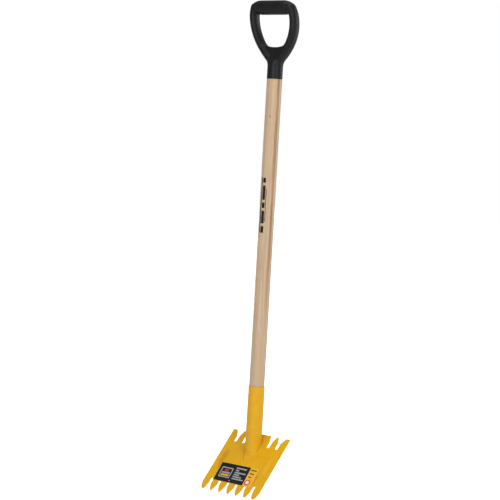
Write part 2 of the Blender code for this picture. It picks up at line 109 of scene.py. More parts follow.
class Graph:
    """Nodes of one material, with short calls for the kinds used here."""

    def __init__(self, name: str) -> None:
        """Start an empty material.

        Args:
            name: The material's name.
        """
        self.material = bpy.data.materials.new(name)
        self.material.use_nodes = True
        self.tree = self.material.node_tree
        self.shader = self.tree.nodes["Principled BSDF"]

    def add(self, kind: str, **settings: object) -> bpy.types.Node:
        """Add a node.

        Args:
            kind: Blender's node type.
            **settings: Node properties to set.

        Returns:
            The new node.
        """
        node = self.tree.nodes.new(kind)
        for key, value in settings.items():
            setattr(node, key, value)
        return node

    def plug(self, source: object, socket: bpy.types.NodeSocket) -> None:
        """Link a node's output to a socket, or set the socket to a plain value.

        Args:
            source: An output or a plain value.
            socket: The socket to fill.
        """
        if isinstance(source, bpy.types.NodeSocket):
            self.tree.links.new(source, socket)
        else:
            socket.default_value = source

    def place(self, scale: Sequence[float] = (1.0, 1.0, 1.0)) -> bpy.types.NodeSocket:
        """Coordinates fixed to the piece, stretched by a scale.

        Args:
            scale: Factor along each axis.

        Returns:
            The vector output.
        """
        coordinates = self.add("ShaderNodeTexCoord")
        mapping = self.add("ShaderNodeMapping")
        mapping.inputs["Scale"].default_value = scale
        self.plug(coordinates.outputs["Object"], mapping.inputs["Vector"])
        return mapping.outputs["Vector"]

    def noise(self, vector: object, scale: float, detail: float = 2.0,
              roughness: float = 0.5, distortion: float = 0.0) -> bpy.types.NodeSocket:
        """Fractal noise.

        Args:
            vector: Coordinates.
            scale: Cycles per metre.
            detail: Octaves.
            roughness: Strength of the finer octaves.
            distortion: Warp of the pattern.

        Returns:
            The grey output, about 0 to 1.
        """
        node = self.add("ShaderNodeTexNoise")
        self.plug(vector, node.inputs["Vector"])
        for name, value in (("Scale", scale), ("Detail", detail), ("Roughness", roughness),
                            ("Distortion", distortion)):
            node.inputs[name].default_value = value
        return node.outputs["Fac"]

    def math(self, operation: str, first: object, second: object = 0.0) -> bpy.types.NodeSocket:
        """One arithmetic step.

        Args:
            operation: Blender's name of the operation.
            first: First operand.
            second: Second operand.

        Returns:
            The result.
        """
        node = self.add("ShaderNodeMath", operation=operation)
        self.plug(first, node.inputs[0])
        self.plug(second, node.inputs[1])
        return node.outputs[0]

    def span(self, value: object, low: float, high: float, to_low: float = 0.0,
             to_high: float = 1.0, smooth: bool = False) -> bpy.types.NodeSocket:
        """Map a range of values to another, clamped.

        Args:
            value: The value to map.
            low: Start of the range.
            high: End of the range.
            to_low: Result at the start.
            to_high: Result at the end.
            smooth: Whether the ends ease in.

        Returns:
            The mapped value.
        """
        kind = "SMOOTHSTEP" if smooth else "LINEAR"
        node = self.add("ShaderNodeMapRange", interpolation_type=kind)
        for name, given in (("Value", value), ("From Min", low), ("From Max", high),
                            ("To Min", to_low), ("To Max", to_high)):
            self.plug(given, node.inputs[name])
        return node.outputs["Result"]

    def times(self, first: object, second: object) -> bpy.types.NodeSocket:
        """Product of two values."""
        return self.math("MULTIPLY", first, second)

    def blend(self, factor: object, first: object, second: object) -> bpy.types.NodeSocket:
        """Mix two colours.

        Args:
            factor: Share of the second colour.
            first: A colour or an output.
            second: A colour or an output.

        Returns:
            The mixed colour.
        """
        node = self.add("ShaderNodeMix", data_type="RGBA")
        self.plug(factor, node.inputs["Factor"])
        for name, given in (("A", first), ("B", second)):
            socket = [s for s in node.inputs if s.name == name and s.type == "RGBA"][0]
            self.plug((*given, 1.0) if isinstance(given, tuple) else given, socket)
        return [s for s in node.outputs if s.type == "RGBA"][0]

    def distance(self, scale: Sequence[float], centre: Sequence[float]) -> bpy.types.NodeSocket:
        """Distance from a point, in stretched coordinates.

        Args:
            scale: Stretch along each axis, 0 to leave the axis out.
            centre: The point, in the frame's own metres.

        Returns:
            The distance.
        """
        node = self.add("ShaderNodeVectorMath", operation="DISTANCE")
        self.plug(self.place(scale), node.inputs[0])
        node.inputs[1].default_value = [a * b for a, b in zip(scale, centre)]
        return node.outputs["Value"]

    def towards(self, direction: Sequence[float]) -> bpy.types.NodeSocket:
        """How far a point lies in one direction from the frame's origin.

        Args:
            direction: Unit vector.

        Returns:
            The distance along it.
        """
        node = self.add("ShaderNodeVectorMath", operation="DOT_PRODUCT")
        self.plug(self.place(), node.inputs[0])
        node.inputs[1].default_value = direction
        return node.outputs["Value"]

    def stored(self, name: str) -> bpy.types.NodeSocket:
        """A value stored on the mesh by name."""
        return self.add("ShaderNodeAttribute", attribute_name=name).outputs["Fac"]

    def relief(self, height: object, depth: float, under: object = None) -> bpy.types.NodeSocket:
        """Bump from a height.

        Args:
            height: Pattern from 0 to 1.
            depth: Height of the pattern in metres.
            under: Normal of the relief below, if any.

        Returns:
            The bumped normal.
        """
        node = self.add("ShaderNodeBump")
        node.inputs["Strength"].default_value = 1.0
        node.inputs["Distance"].default_value = depth
        self.plug(height, node.inputs["Height"])
        if under is not None:
            self.plug(under, node.inputs["Normal"])
        return node.outputs["Normal"]

    def finish(self, colour: object, roughness: object, normal: object = None,
               **fixed: float) -> bpy.types.Material:
        """Fill in the shader.

        Args:
            colour: Base colour.
            roughness: Roughness.
            normal: Bumped normal, if any.
            **fixed: Plain values of other shader inputs, with _ for spaces.

        Returns:
            The finished material.
        """
        base = (*colour, 1.0) if isinstance(colour, tuple) else colour
        self.plug(base, self.shader.inputs["Base Color"])
        self.plug(roughness, self.shader.inputs["Roughness"])
        if normal is not None:
            self.plug(normal, self.shader.inputs["Normal"])
        for name, value in fixed.items():
            self.shader.inputs[name.replace("_", " ")].default_value = value
        return self.material


@dataclass(frozen=True)
class PowderCoat:
    """Baked yellow powder coat on steel, with orange peel, rubbed edges and painted shade where the mesh
    stores it.
    """

    base: Colour = (0.640, 0.338, 0.0040)
    warm: Colour = (0.650, 0.312, 0.0045)
    lemon: Colour = (0.625, 0.366, 0.0035)
    grit: Colour = (0.40, 0.20, 0.02)
    rubbed: Colour = (0.70, 0.42, 0.06)
    # Painted shade: the deeper orange laid where the mesh stores painted shade.
    painted_shade_colour: Colour = (0.555, 0.215, 0.0060)
    lemon_share: float = 0.75
    grit_share: float = 0.10
    painted_shade: float = 0.85
    rub: float = 0.35
    rub_roughness: float = 0.08
    roughness: float = 0.32
    cloud_scale: float = 55.0
    patch_scale: float = 170.0
    rub_scale: float = 240.0
    peel_scale: float = 620.0
    grit_scale: float = 2600.0
    peel_depth: float = 0.045 * MM
    grit_depth: float = 0.008 * MM

    def material(self) -> bpy.types.Material:
        """Make the material.

        Returns:
            The material.
        """
        g = Graph("yellow_powder_coat")
        cloud = g.noise(g.place(), self.cloud_scale, 3.0, 0.55)
        patch = g.noise(g.place((1.0, 1.0, 0.5)), self.patch_scale, 2.0, 0.5)
        peel = g.noise(g.place(), self.peel_scale, 2.0, 0.4)
        grit = g.noise(g.place(), self.grit_scale, 2.0, 0.6)
        tone = g.blend(g.span(cloud, 0.38, 0.64), self.warm, self.base)
        tone = g.blend(g.span(patch, 0.50, 0.68, 0.0, self.lemon_share), tone, self.lemon)
        tone = g.blend(g.span(grit, 0.66, 0.74, 0.0, self.grit_share), tone, self.grit)
        # Painted shade: darkens the coat on the blade's -X wall, along its folds and on the bead's left
        # front.
        tone = g.blend(g.times(g.stored("painted_shade"), self.painted_shade), tone, self.painted_shade_colour)
        wear = g.span(g.noise(g.place(), self.rub_scale, 4.0, 0.65), 0.45, 0.62)
        edge = g.times(g.stored("rim"), wear)
        tone = g.blend(g.times(edge, self.rub), tone, self.rubbed)
        rough = g.span(cloud, 0.3, 0.7, self.roughness - 0.04, self.roughness + 0.05)
        rough = g.math("ADD", rough, g.times(edge, self.rub_roughness))
        relief = g.relief(peel, self.peel_depth)
        relief = g.relief(grit, self.grit_depth, relief)
        return g.finish(tone, rough, relief, Specular_IOR_Level=0.20, Coat_Weight=0.14, Coat_Roughness=0.08)


@dataclass(frozen=True)
class AshWood:
    """Turned ash under clear lacquer: growth rings, open pores, a red-brown streak and a pin knot."""

    pale: Colour = (0.522, 0.376, 0.244)
    warm: Colour = (0.506, 0.328, 0.200)
    tan: Colour = (0.403, 0.277, 0.162)
    streak: Colour = (0.270, 0.125, 0.058)
    pore: Colour = (0.210, 0.122, 0.066)
    paler_tone: Colour = (0.470, 0.360, 0.235)
    knot_brown: Colour = (0.16, 0.085, 0.045)
    late_share: float = 0.62
    fibre_share: float = 0.34
    pore_share: float = 0.55
    paler_share: float = 0.30
    knot_share: float = 0.70
    pith: tuple[float, float] = (-0.042, 0.060)
    ring_pitch: float = 3.4 * MM
    ring_waver: float = 7.48 * MM
    waver_scale: float = 60.0
    broad_scale: float = 95.0
    fibre_scale: float = 950.0
    pore_scale: float = 1500.0
    waver_stretch: float = 0.055
    fibre_stretch: float = 0.016
    pore_stretch: float = 0.030
    fibre_depth: float = 0.030 * MM
    pore_depth: float = 0.045 * MM
    streak_azimuth: float = math.radians(75.0)
    streak_fade: tuple[float, float] = (0.26, 0.52)
    paler_fade: tuple[float, float] = (0.16, 0.42)
    knot: tuple[float, float, float] = (0.0068, -0.0168, 0.792)
    knot_stretch: float = 0.55
    knot_fade: tuple[float, float] = (0.9 * MM, 2.6 * MM)
    radius: float = 18.1 * MM

    def rings(self, g: Graph) -> bpy.types.NodeSocket:
        """Place across one growth ring, 0 at its early wood and 1 at its late wood.

        Args:
            g: The material's graph.

        Returns:
            The place across the ring.
        """
        waver = g.noise(g.place((1.0, 1.0, self.waver_stretch)), self.waver_scale, 3.0, 0.5, 0.4)
        from_pith = g.distance((1.0, 1.0, 0.0), (*self.pith, 0.0))
        reach = g.math("ADD", from_pith, g.times(waver, self.ring_waver))
        return g.math("FRACT", g.math("DIVIDE", reach, self.ring_pitch))

    def streak_share(self, g: Graph, broad: object, fibre: object) -> bpy.types.NodeSocket:
        """How strong the red-brown streak down one side is.

        Args:
            g: The material's graph.
            broad: Slow changes along the grain.
            fibre: Fine fibres.

        Returns:
            The streak's share of the colour.
        """
        side = (math.sin(self.streak_azimuth), -math.cos(self.streak_azimuth), 0.0)
        facing = g.math("DIVIDE", g.towards(side), self.radius)
        facing = g.math("ADD", facing, g.span(broad, 0.3, 0.7, -0.018, 0.018))
        share = g.times(g.span(facing, 0.955, 0.992, smooth=True),
                        g.span(g.towards((0.0, 0.0, 1.0)), *self.streak_fade, smooth=True))
        return g.times(share, g.span(fibre, 0.30, 0.62, 0.35, 0.95))

    def material(self) -> bpy.types.Material:
        """Make the material.

        Returns:
            The material.
        """
        g = Graph("lacquered_ash")
        ring = self.rings(g)
        late = g.times(g.span(ring, 0.35, 0.92, smooth=True), g.span(ring, 1.0, 0.93))
        broad = g.noise(g.place((1.0, 1.0, self.waver_stretch)), self.broad_scale, 2.0, 0.5)
        fibre = g.noise(g.place((1.0, 1.0, self.fibre_stretch)), self.fibre_scale, 3.0, 0.6)
        tone = g.blend(g.span(broad, 0.40, 0.62), self.pale, self.warm)
        tone = g.blend(g.times(late, self.late_share), tone, self.tan)
        tone = g.blend(g.span(fibre, 0.36, 0.66, 0.0, self.fibre_share), tone, self.tan)
        pores = g.noise(g.place((1.0, 1.0, self.pore_stretch)), self.pore_scale, 1.0, 0.5)
        dash = g.times(g.span(pores, 0.60, 0.70), g.span(ring, 0.0, 0.42, 1.0, 0.15))
        tone = g.blend(g.times(dash, self.pore_share), tone, self.pore)
        tone = g.blend(self.streak_share(g, broad, fibre), tone, self.streak)
        # Paler, greyer tone towards the bottom of the shaft.
        paler_low = g.span(g.towards((0.0, 0.0, 1.0)), *self.paler_fade, self.paler_share, 0.0, smooth=True)
        tone = g.blend(paler_low, tone, self.paler_tone)
        from_knot = g.distance((1.0, 1.0, self.knot_stretch), self.knot)
        knot = g.span(from_knot, *self.knot_fade, self.knot_share, 0.0, smooth=True)
        tone = g.blend(knot, tone, self.knot_brown)
        rough = g.span(fibre, 0.3, 0.7, 0.42, 0.52)
        relief = g.relief(fibre, self.fibre_depth)
        relief = g.relief(g.math("SUBTRACT", 1.0, dash), self.pore_depth, relief)
        return g.finish(tone, rough, relief, Coat_Weight=0.14, Coat_Roughness=0.14, Specular_IOR_Level=0.22)


@dataclass(frozen=True)
class MouldedPlastic:
    """Black injection-moulded plastic with a fine grain and a faint parting line."""

    base: Colour = (0.0050, 0.0050, 0.0054)
    paler_tone: Colour = (0.0085, 0.0085, 0.0088)
    scuffed: Colour = (0.016, 0.016, 0.016)
    dust_share: float = 0.55
    scuff_share: float = 0.30
    roughness: float = 0.40
    cloud_scale: float = 46.0
    scuff_scale: float = 330.0
    grain_scale: float = 1300.0
    grain_depth: float = 0.035 * MM
    seam_half_width: float = 0.35 * MM
    seam_height: float = 0.08 * MM

    def material(self) -> bpy.types.Material:
        """Make the material.

        Returns:
            The material.
        """
        g = Graph("black_moulded_plastic")
        cloud = g.noise(g.place(), self.cloud_scale, 3.0, 0.55)
        grain = g.noise(g.place(), self.grain_scale, 2.0, 0.5)
        scuff = g.noise(g.place((1.0, 0.35, 1.0)), self.scuff_scale, 4.0, 0.7)
        tone = g.blend(g.span(cloud, 0.40, 0.66, 0.0, self.dust_share), self.base, self.paler_tone)
        tone = g.blend(g.span(scuff, 0.62, 0.74, 0.0, self.scuff_share), tone, self.scuffed)
        rough = g.span(cloud, 0.30, 0.70, self.roughness - 0.04, self.roughness + 0.06)
        rough = g.math("ADD", rough, g.span(grain, 0.4, 0.7, 0.0, 0.04))
        off_seam = g.math("ABSOLUTE", g.stored("depth"))
        seam = g.span(off_seam, 0.0, self.seam_half_width, 1.0, 0.0, smooth=True)
        relief = g.relief(grain, self.grain_depth)
        relief = g.relief(seam, self.seam_height, relief)
        return g.finish(tone, rough, relief, Specular_IOR_Level=0.22)


@dataclass(frozen=True)
class ZincPlate:
    """Bright zinc plating with drawn marks."""

    base: Colour = (0.62, 0.62, 0.60)
    dull: Colour = (0.42, 0.42, 0.40)
    bloom_scale: float = 420.0
    mark_scale: float = 2600.0
    mark_depth: float = 0.02 * MM

    def material(self) -> bpy.types.Material:
        """Make the material.

        Returns:
            The material.
        """
        g = Graph("zinc_plate")
        bloom = g.noise(g.place(), self.bloom_scale, 3.0, 0.6)
        marks = g.noise(g.place((1.0, 0.2, 1.0)), self.mark_scale, 2.0, 0.5)
        tone = g.blend(g.span(bloom, 0.42, 0.66), self.base, self.dull)
        rough = g.span(bloom, 0.3, 0.7, 0.24, 0.42)
        return g.finish(tone, rough, g.relief(marks, self.mark_depth), Metallic=1.0)


@dataclass(frozen=True)
class FilmPrint:
    """Ink on a glossy film, a little uneven where it was laid down."""

    colours: dict[Ink, Colour] = field(default_factory=lambda: {
        Ink.YELLOW: (0.670, 0.355, 0.022),
        Ink.BLACK: (0.0060, 0.0060, 0.0062),
        Ink.GREY: (0.300, 0.300, 0.300),
        Ink.WHITE: (0.70, 0.66, 0.66),
        Ink.RED: (0.560, 0.020, 0.018),
        Ink.ORANGE: (0.660, 0.300, 0.020),
    })
    thin_gain: float = 1.10
    thin_lift: float = 0.002
    mottle_scale: float = 480.0
    wrinkle_scale: float = 130.0
    wrinkle_depth: float = 0.05 * MM

    def material(self, ink: Ink) -> bpy.types.Material:
        """Make the material of one ink.

        Args:
            ink: Which ink.

        Returns:
            The material.
        """
        g = Graph(ink.value)
        full = self.colours[ink]
        thin_ink_and_painted_shade = tuple(level * self.thin_gain + self.thin_lift for level in full)
        mottle = g.noise(g.place(), self.mottle_scale, 3.0, 0.6)
        tone = g.blend(g.span(mottle, 0.42, 0.66), full, thin_ink_and_painted_shade)
        rough = g.span(mottle, 0.3, 0.7, 0.36, 0.46)
        wrinkle = g.noise(g.place(), self.wrinkle_scale, 2.0, 0.5)
        relief = g.relief(wrinkle, self.wrinkle_depth)
        return g.finish(tone, rough, relief, Specular_IOR_Level=0.25, Coat_Weight=0.04, Coat_Roughness=0.22)


# ---------------------------------------------------------------- mesh helpers


def new_object(name: str, mesh: bpy.types.Mesh) -> bpy.types.Object:
    """Link a mesh as an object.

    Args:
        name: The object's name.
        mesh: Its mesh.

    Returns:
        The object.
    """
    obj = bpy.data.objects.new(name, mesh)
    bpy.context.scene.collection.objects.link(obj)
    return obj


def mesh_of(name: str, points: Iterable[Sequence[float]], faces: Iterable[Sequence[int]]) -> bpy.types.Mesh:
    """Make a smooth-shaded mesh with its faces turned outwards.

    Args:
        name: The mesh's name.
        points: Vertices.
        faces: Indices of each face's vertices.

    Returns:
        The mesh.
    """
    mesh = bpy.data.meshes.new(name)
    mesh.from_pydata([tuple(p) for p in points], [], [tuple(f) for f in faces])
    bm = bmesh.new()
    bm.from_mesh(mesh)
    bmesh.ops.recalc_face_normals(bm, faces=bm.faces)
    bm.to_mesh(mesh)
    bm.free()
    mesh.shade_smooth()
    return mesh


def settle_normals(obj: bpy.types.Object, sharp_degrees: float) -> None:
    """Keep flats flat beside narrow rounded edges.

    Args:
        obj: The piece.
        sharp_degrees: Edges turned more than this stay sharp.
    """
    obj.data.set_sharp_from_angle(angle=math.radians(sharp_degrees))
    modifier = obj.modifiers.new("flats", "WEIGHTED_NORMAL")
    modifier.keep_sharp = True
    modifier.weight = FLAT_WEIGHT
    depsgraph = bpy.context.evaluated_depsgraph_get()
    mesh = bpy.data.meshes.new_from_object(obj.evaluated_get(depsgraph))
    obj.modifiers.clear()
    obj.data = mesh


def mesh_points(mesh: bpy.types.Mesh) -> np.ndarray:
    """Positions of a mesh's vertices.

    Args:
        mesh: The mesh.

    Returns:
        Rows of x, y and z.
    """
    flat = np.empty(3 * len(mesh.vertices), np.float32)
    mesh.vertices.foreach_get("co", flat)
    return flat.reshape(-1, 3)


def store(mesh: bpy.types.Mesh, name: str, values: np.ndarray) -> None:
    """Store one value per vertex.

    Args:
        mesh: The mesh.
        name: Name that the finish reads.
        values: One number per vertex.
    """
    attribute = mesh.attributes.new(name, "FLOAT", "POINT")
    attribute.data.foreach_set("value", np.asarray(values, np.float32))


def recall(mesh: bpy.types.Mesh, name: str) -> np.ndarray:
    """Read back what was stored on a mesh.

    Args:
        mesh: The mesh.
        name: Name of the stored values.

    Returns:
        One number per vertex.
    """
    values = np.zeros(len(mesh.vertices))
    mesh.attributes[name].data.foreach_get("value", values)
    return values


def arc(centre: Point2, radius: float, start: float, end: float, steps: int) -> list[Point2]:
    """Points along an arc.

    Args:
        centre: Centre of the arc.
        radius: Its radius.
        start: First angle in degrees.
        end: Last angle in degrees.
        steps: How many chords.

    Returns:
        The points.
    """
    angles = [math.radians(start + (end - start) * i / steps) for i in range(steps + 1)]
    return [(centre[0] + radius * math.cos(a), centre[1] + radius * math.sin(a)) for a in angles]


def rectangle(low: Point2, high: Point2, corner: float = 0.0, steps: int = 4) -> list[Point2]:
    """Outline of a rectangle with rounded corners.

    Args:
        low: Lowest corner.
        high: Highest corner.
        corner: Radius of its corners.
        steps: Chords in each corner.

    Returns:
        The points, counterclockwise.
    """
    if corner <= 0.0:
        return [low, (high[0], low[1]), high, (low[0], high[1])]
    points: list[Point2] = []
    left, right, near, far = low[0] + corner, high[0] - corner, low[1] + corner, high[1] - corner
    for x, y, start in ((right, far, 0), (left, far, 90), (left, near, 180), (right, near, 270)):
        points += arc((x, y), corner, start, start + 90, steps)
    return points


def inset(outline: Sequence[Point2], amount: float) -> list[Point2]:
    """Move a counterclockwise outline inwards.

    Args:
        outline: The points.
        amount: How far.

    Returns:
        The moved points.
    """
    ring = np.array(outline)
    ahead = np.roll(ring, -1, axis=0) - ring
    ahead /= np.linalg.norm(ahead, axis=1)[:, None]
    behind = np.roll(ahead, 1, axis=0)
    normals = np.stack([-ahead[:, 1], ahead[:, 0]], 1)
    before = np.stack([-behind[:, 1], behind[:, 0]], 1)
    middle = normals + before
    middle /= np.linalg.norm(middle, axis=1)[:, None]
    stretch = np.clip((middle * normals).sum(1), 0.5, 1.0)
    return [tuple(p) for p in ring + middle * (amount / stretch)[:, None]]


def within(points: np.ndarray, outline: Sequence[Point2]) -> np.ndarray:
    """Which points lie inside an outline.

    Args:
        points: Rows of x and y.
        outline: The outline.

    Returns:
        One truth value per point.
    """
    ring = np.array(outline)
    ends = np.roll(ring, -1, axis=0)
    inside = np.zeros(len(points), bool)
    for (ax, ay), (bx, by) in zip(ring, ends):
        if ay == by:
            continue
        crosses = (points[:, 1] > ay) != (points[:, 1] > by)
        cut = (bx - ax) * (points[:, 1] - ay) / (by - ay) + ax
        inside ^= crosses & (points[:, 0] < cut)
    return inside


def outline_gap(points: np.ndarray, outline: Sequence[Point2]) -> np.ndarray:
    """Distance from points to the nearest stretch of an outline.

    Args:
        points: Rows of x and y.
        outline: The outline.

    Returns:
        One distance per point.
    """
    ring = np.array(outline)
    ends = np.roll(ring, -1, axis=0)
    best = np.full(len(points), np.inf)
    for a, b in zip(ring, ends):
        along = b - a
        share = np.clip(((points - a) @ along) / max(along @ along, 1e-18), 0.0, 1.0)
        best = np.minimum(best, np.linalg.norm(points - (a + share[:, None] * along), axis=1))
    return best


def triangulated(loops: Sequence[Sequence[Point2]],
                 spacing: float) -> tuple[np.ndarray, list[list[int]], list[int]]:
    """Fill the first outline with even triangles that respect the other outlines.

    Args:
        loops: The outer outline, then any outlines drawn inside it.
        spacing: Size of the triangles.

    Returns:
        The points, the triangles, and which points are the outer outline's, in order.
    """
    outer = loops[0]
    corners = np.array(outer)
    low, high = corners.min(0), corners.max(0)
    columns, rows = [np.arange(math.floor(a / spacing), math.ceil(b / spacing) + 1) * spacing
                     for a, b in zip(low, high)]
    lattice = np.array([(x + (spacing / 2 if j % 2 else 0.0), y)
                        for j, y in enumerate(rows) for x in columns])
    lattice = lattice[within(lattice, outer)]
    for loop in loops:
        lattice = lattice[outline_gap(lattice, loop) > CLEAR_OF_OUTLINE * spacing]
    points: list[Point2] = []
    edges: list[tuple[int, int]] = []
    for loop in loops:
        first = len(points)
        points += list(loop)
        edges += [(first + i, first + (i + 1) % len(loop)) for i in range(len(loop))]
    count = len(outer)
    points += [tuple(p) for p in lattice]
    made, _, faces, sources, _, _ = delaunay_2d_cdt([Vector(p) for p in points], edges, [], 1, 1e-9)
    where = {source: index for index, found in enumerate(sources) for source in found}
    return np.array([tuple(p) for p in made]), [list(f) for f in faces], [where[i] for i in range(count)]


def edge_levels(thickness: float, edge: float) -> list[Point2]:
    """Rings down a plate's rounded rim.

    Args:
        thickness: Thickness of the plate.
        edge: Radius of the rim's two edges.

    Returns:
        How far in and how far down each ring lies, from the top face to the bottom one.
    """
    turns = [math.pi / 2 * i / EDGE_STEPS for i in range(1, EDGE_STEPS + 1)]
    down = [(edge * (1 - math.sin(a)), edge * (1 - math.cos(a))) for a in turns]
    return down + [(shift, thickness - drop) for shift, drop in reversed(down)]


def rounded_plate(name: str, outline: Sequence[Point2], thickness: float, edge: float, spacing: float,
                  height: Callable[[np.ndarray], np.ndarray], place: Matrix,
                  drawn: Sequence[Sequence[Point2]] = ()) -> bpy.types.Object:
    """A plate that follows a height, with a rounded rim.

    Args:
        name: The piece's name.
        outline: Its outline, counterclockwise, in its own plane.
        thickness: Its thickness.
        edge: Radius of the rim's two edges.
        spacing: Size of the triangles on its faces.
        height: Height of its top face at rows of x and y.
        place: From its own plane to the frame.
        drawn: Outlines on its faces that the triangles respect.

    Returns:
        The piece. It stores its nearness to the rim as "rim", and its own x and y as "across" and "back".
    """
    flat, faces, border = triangulated([inset(outline, edge), *drawn], spacing)
    rows: list[np.ndarray] = []
    for shift, drop in edge_levels(thickness, edge):
        ring = np.array(inset(outline, shift)) if shift > 0 else np.array(outline)
        rows.append(np.column_stack([ring, height(ring) - drop]))
    top = np.column_stack([flat, height(flat)])
    bottom = np.column_stack([flat, height(flat) - thickness])
    points = np.vstack([top, bottom, *rows])
    count, ring_size = len(flat), len(outline)
    every = [tuple(f) for f in faces] + [tuple(count + i for i in reversed(f)) for f in faces]
    rings = [border] + [[2 * count + r * ring_size + i for i in range(ring_size)] for r in range(len(rows))]
    rings.append([count + i for i in border])
    for upper, lower in zip(rings, rings[1:]):
        for i in range(ring_size):
            j = (i + 1) % ring_size
            every.append((upper[i], lower[i], lower[j], upper[j]))
    gap = outline_gap(points[:, :2], outline)
    world = points @ np.array(place.to_3x3()).T + np.array(place.translation)
    mesh = mesh_of(name, world, every)
    store(mesh, "rim", np.clip(1.0 - gap / (WEAR_REACH * edge), 0.0, 1.0))
    store(mesh, "across", points[:, 0])
    store(mesh, "back", points[:, 1])
    obj = new_object(name, mesh)
    settle_normals(obj, sharp_degrees=50.0)
    return obj


def lofted(name: str, rings: Sequence[Sequence[Vector]], closed: bool = True) -> bpy.types.Mesh:
    """Join rings of points into a surface.

    Args:
        name: The mesh's name.
        rings: Rings with the same number of points each.
        closed: Whether the last ring joins the first. If not, both ends are filled.

    Returns:
        The mesh.
    """
    size = len(rings[0])
    points = [p for ring in rings for p in ring]
    pairs = list(zip(range(len(rings)), range(1, len(rings))))
    if closed:
        pairs.append((len(rings) - 1, 0))
    faces = [(a * size + i, a * size + (i + 1) % size, b * size + (i + 1) % size, b * size + i)
             for a, b in pairs for i in range(size)]
    if not closed:
        faces.append(tuple(range(size)))
        faces.append(tuple(range(len(points) - size, len(points))))
    return mesh_of(name, points, faces)


def turned(name: str, profile: Sequence[Point2], sides: int, place: Matrix) -> bpy.types.Mesh:
    """Turn a profile about its Z axis.

    Args:
        name: The mesh's name.
        profile: Radius and height of each ring, with no point on the axis.
        sides: How many sides.
        place: From the profile's frame to the object's.

    Returns:
        The mesh.
    """
    angles = [math.tau * i / sides for i in range(sides)]
    rings = [[place @ Vector((r * math.cos(a), r * math.sin(a), z)) for a in angles] for r, z in profile]
    return lofted(name, rings, closed=False)


def dress(obj: bpy.types.Object, node: str, materials: Sequence[bpy.types.Material],
          replaced: bool = True) -> None:
    """Give a piece its finish and tie it to the frame.

    Args:
        obj: The piece.
        node: The frame's node that it stands for.
        materials: Its materials.
        replaced: Whether the node is hidden.
    """
    obj.data.materials.clear()
    for material in materials:
        obj.data.materials.append(material)
    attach(obj, BODY)
    if replaced:
        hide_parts(node)
    LOG.info("%s: %d faces, stands for %s", obj.name, len(obj.data.polygons), node)


# ---------------------------------------------------------------- blade


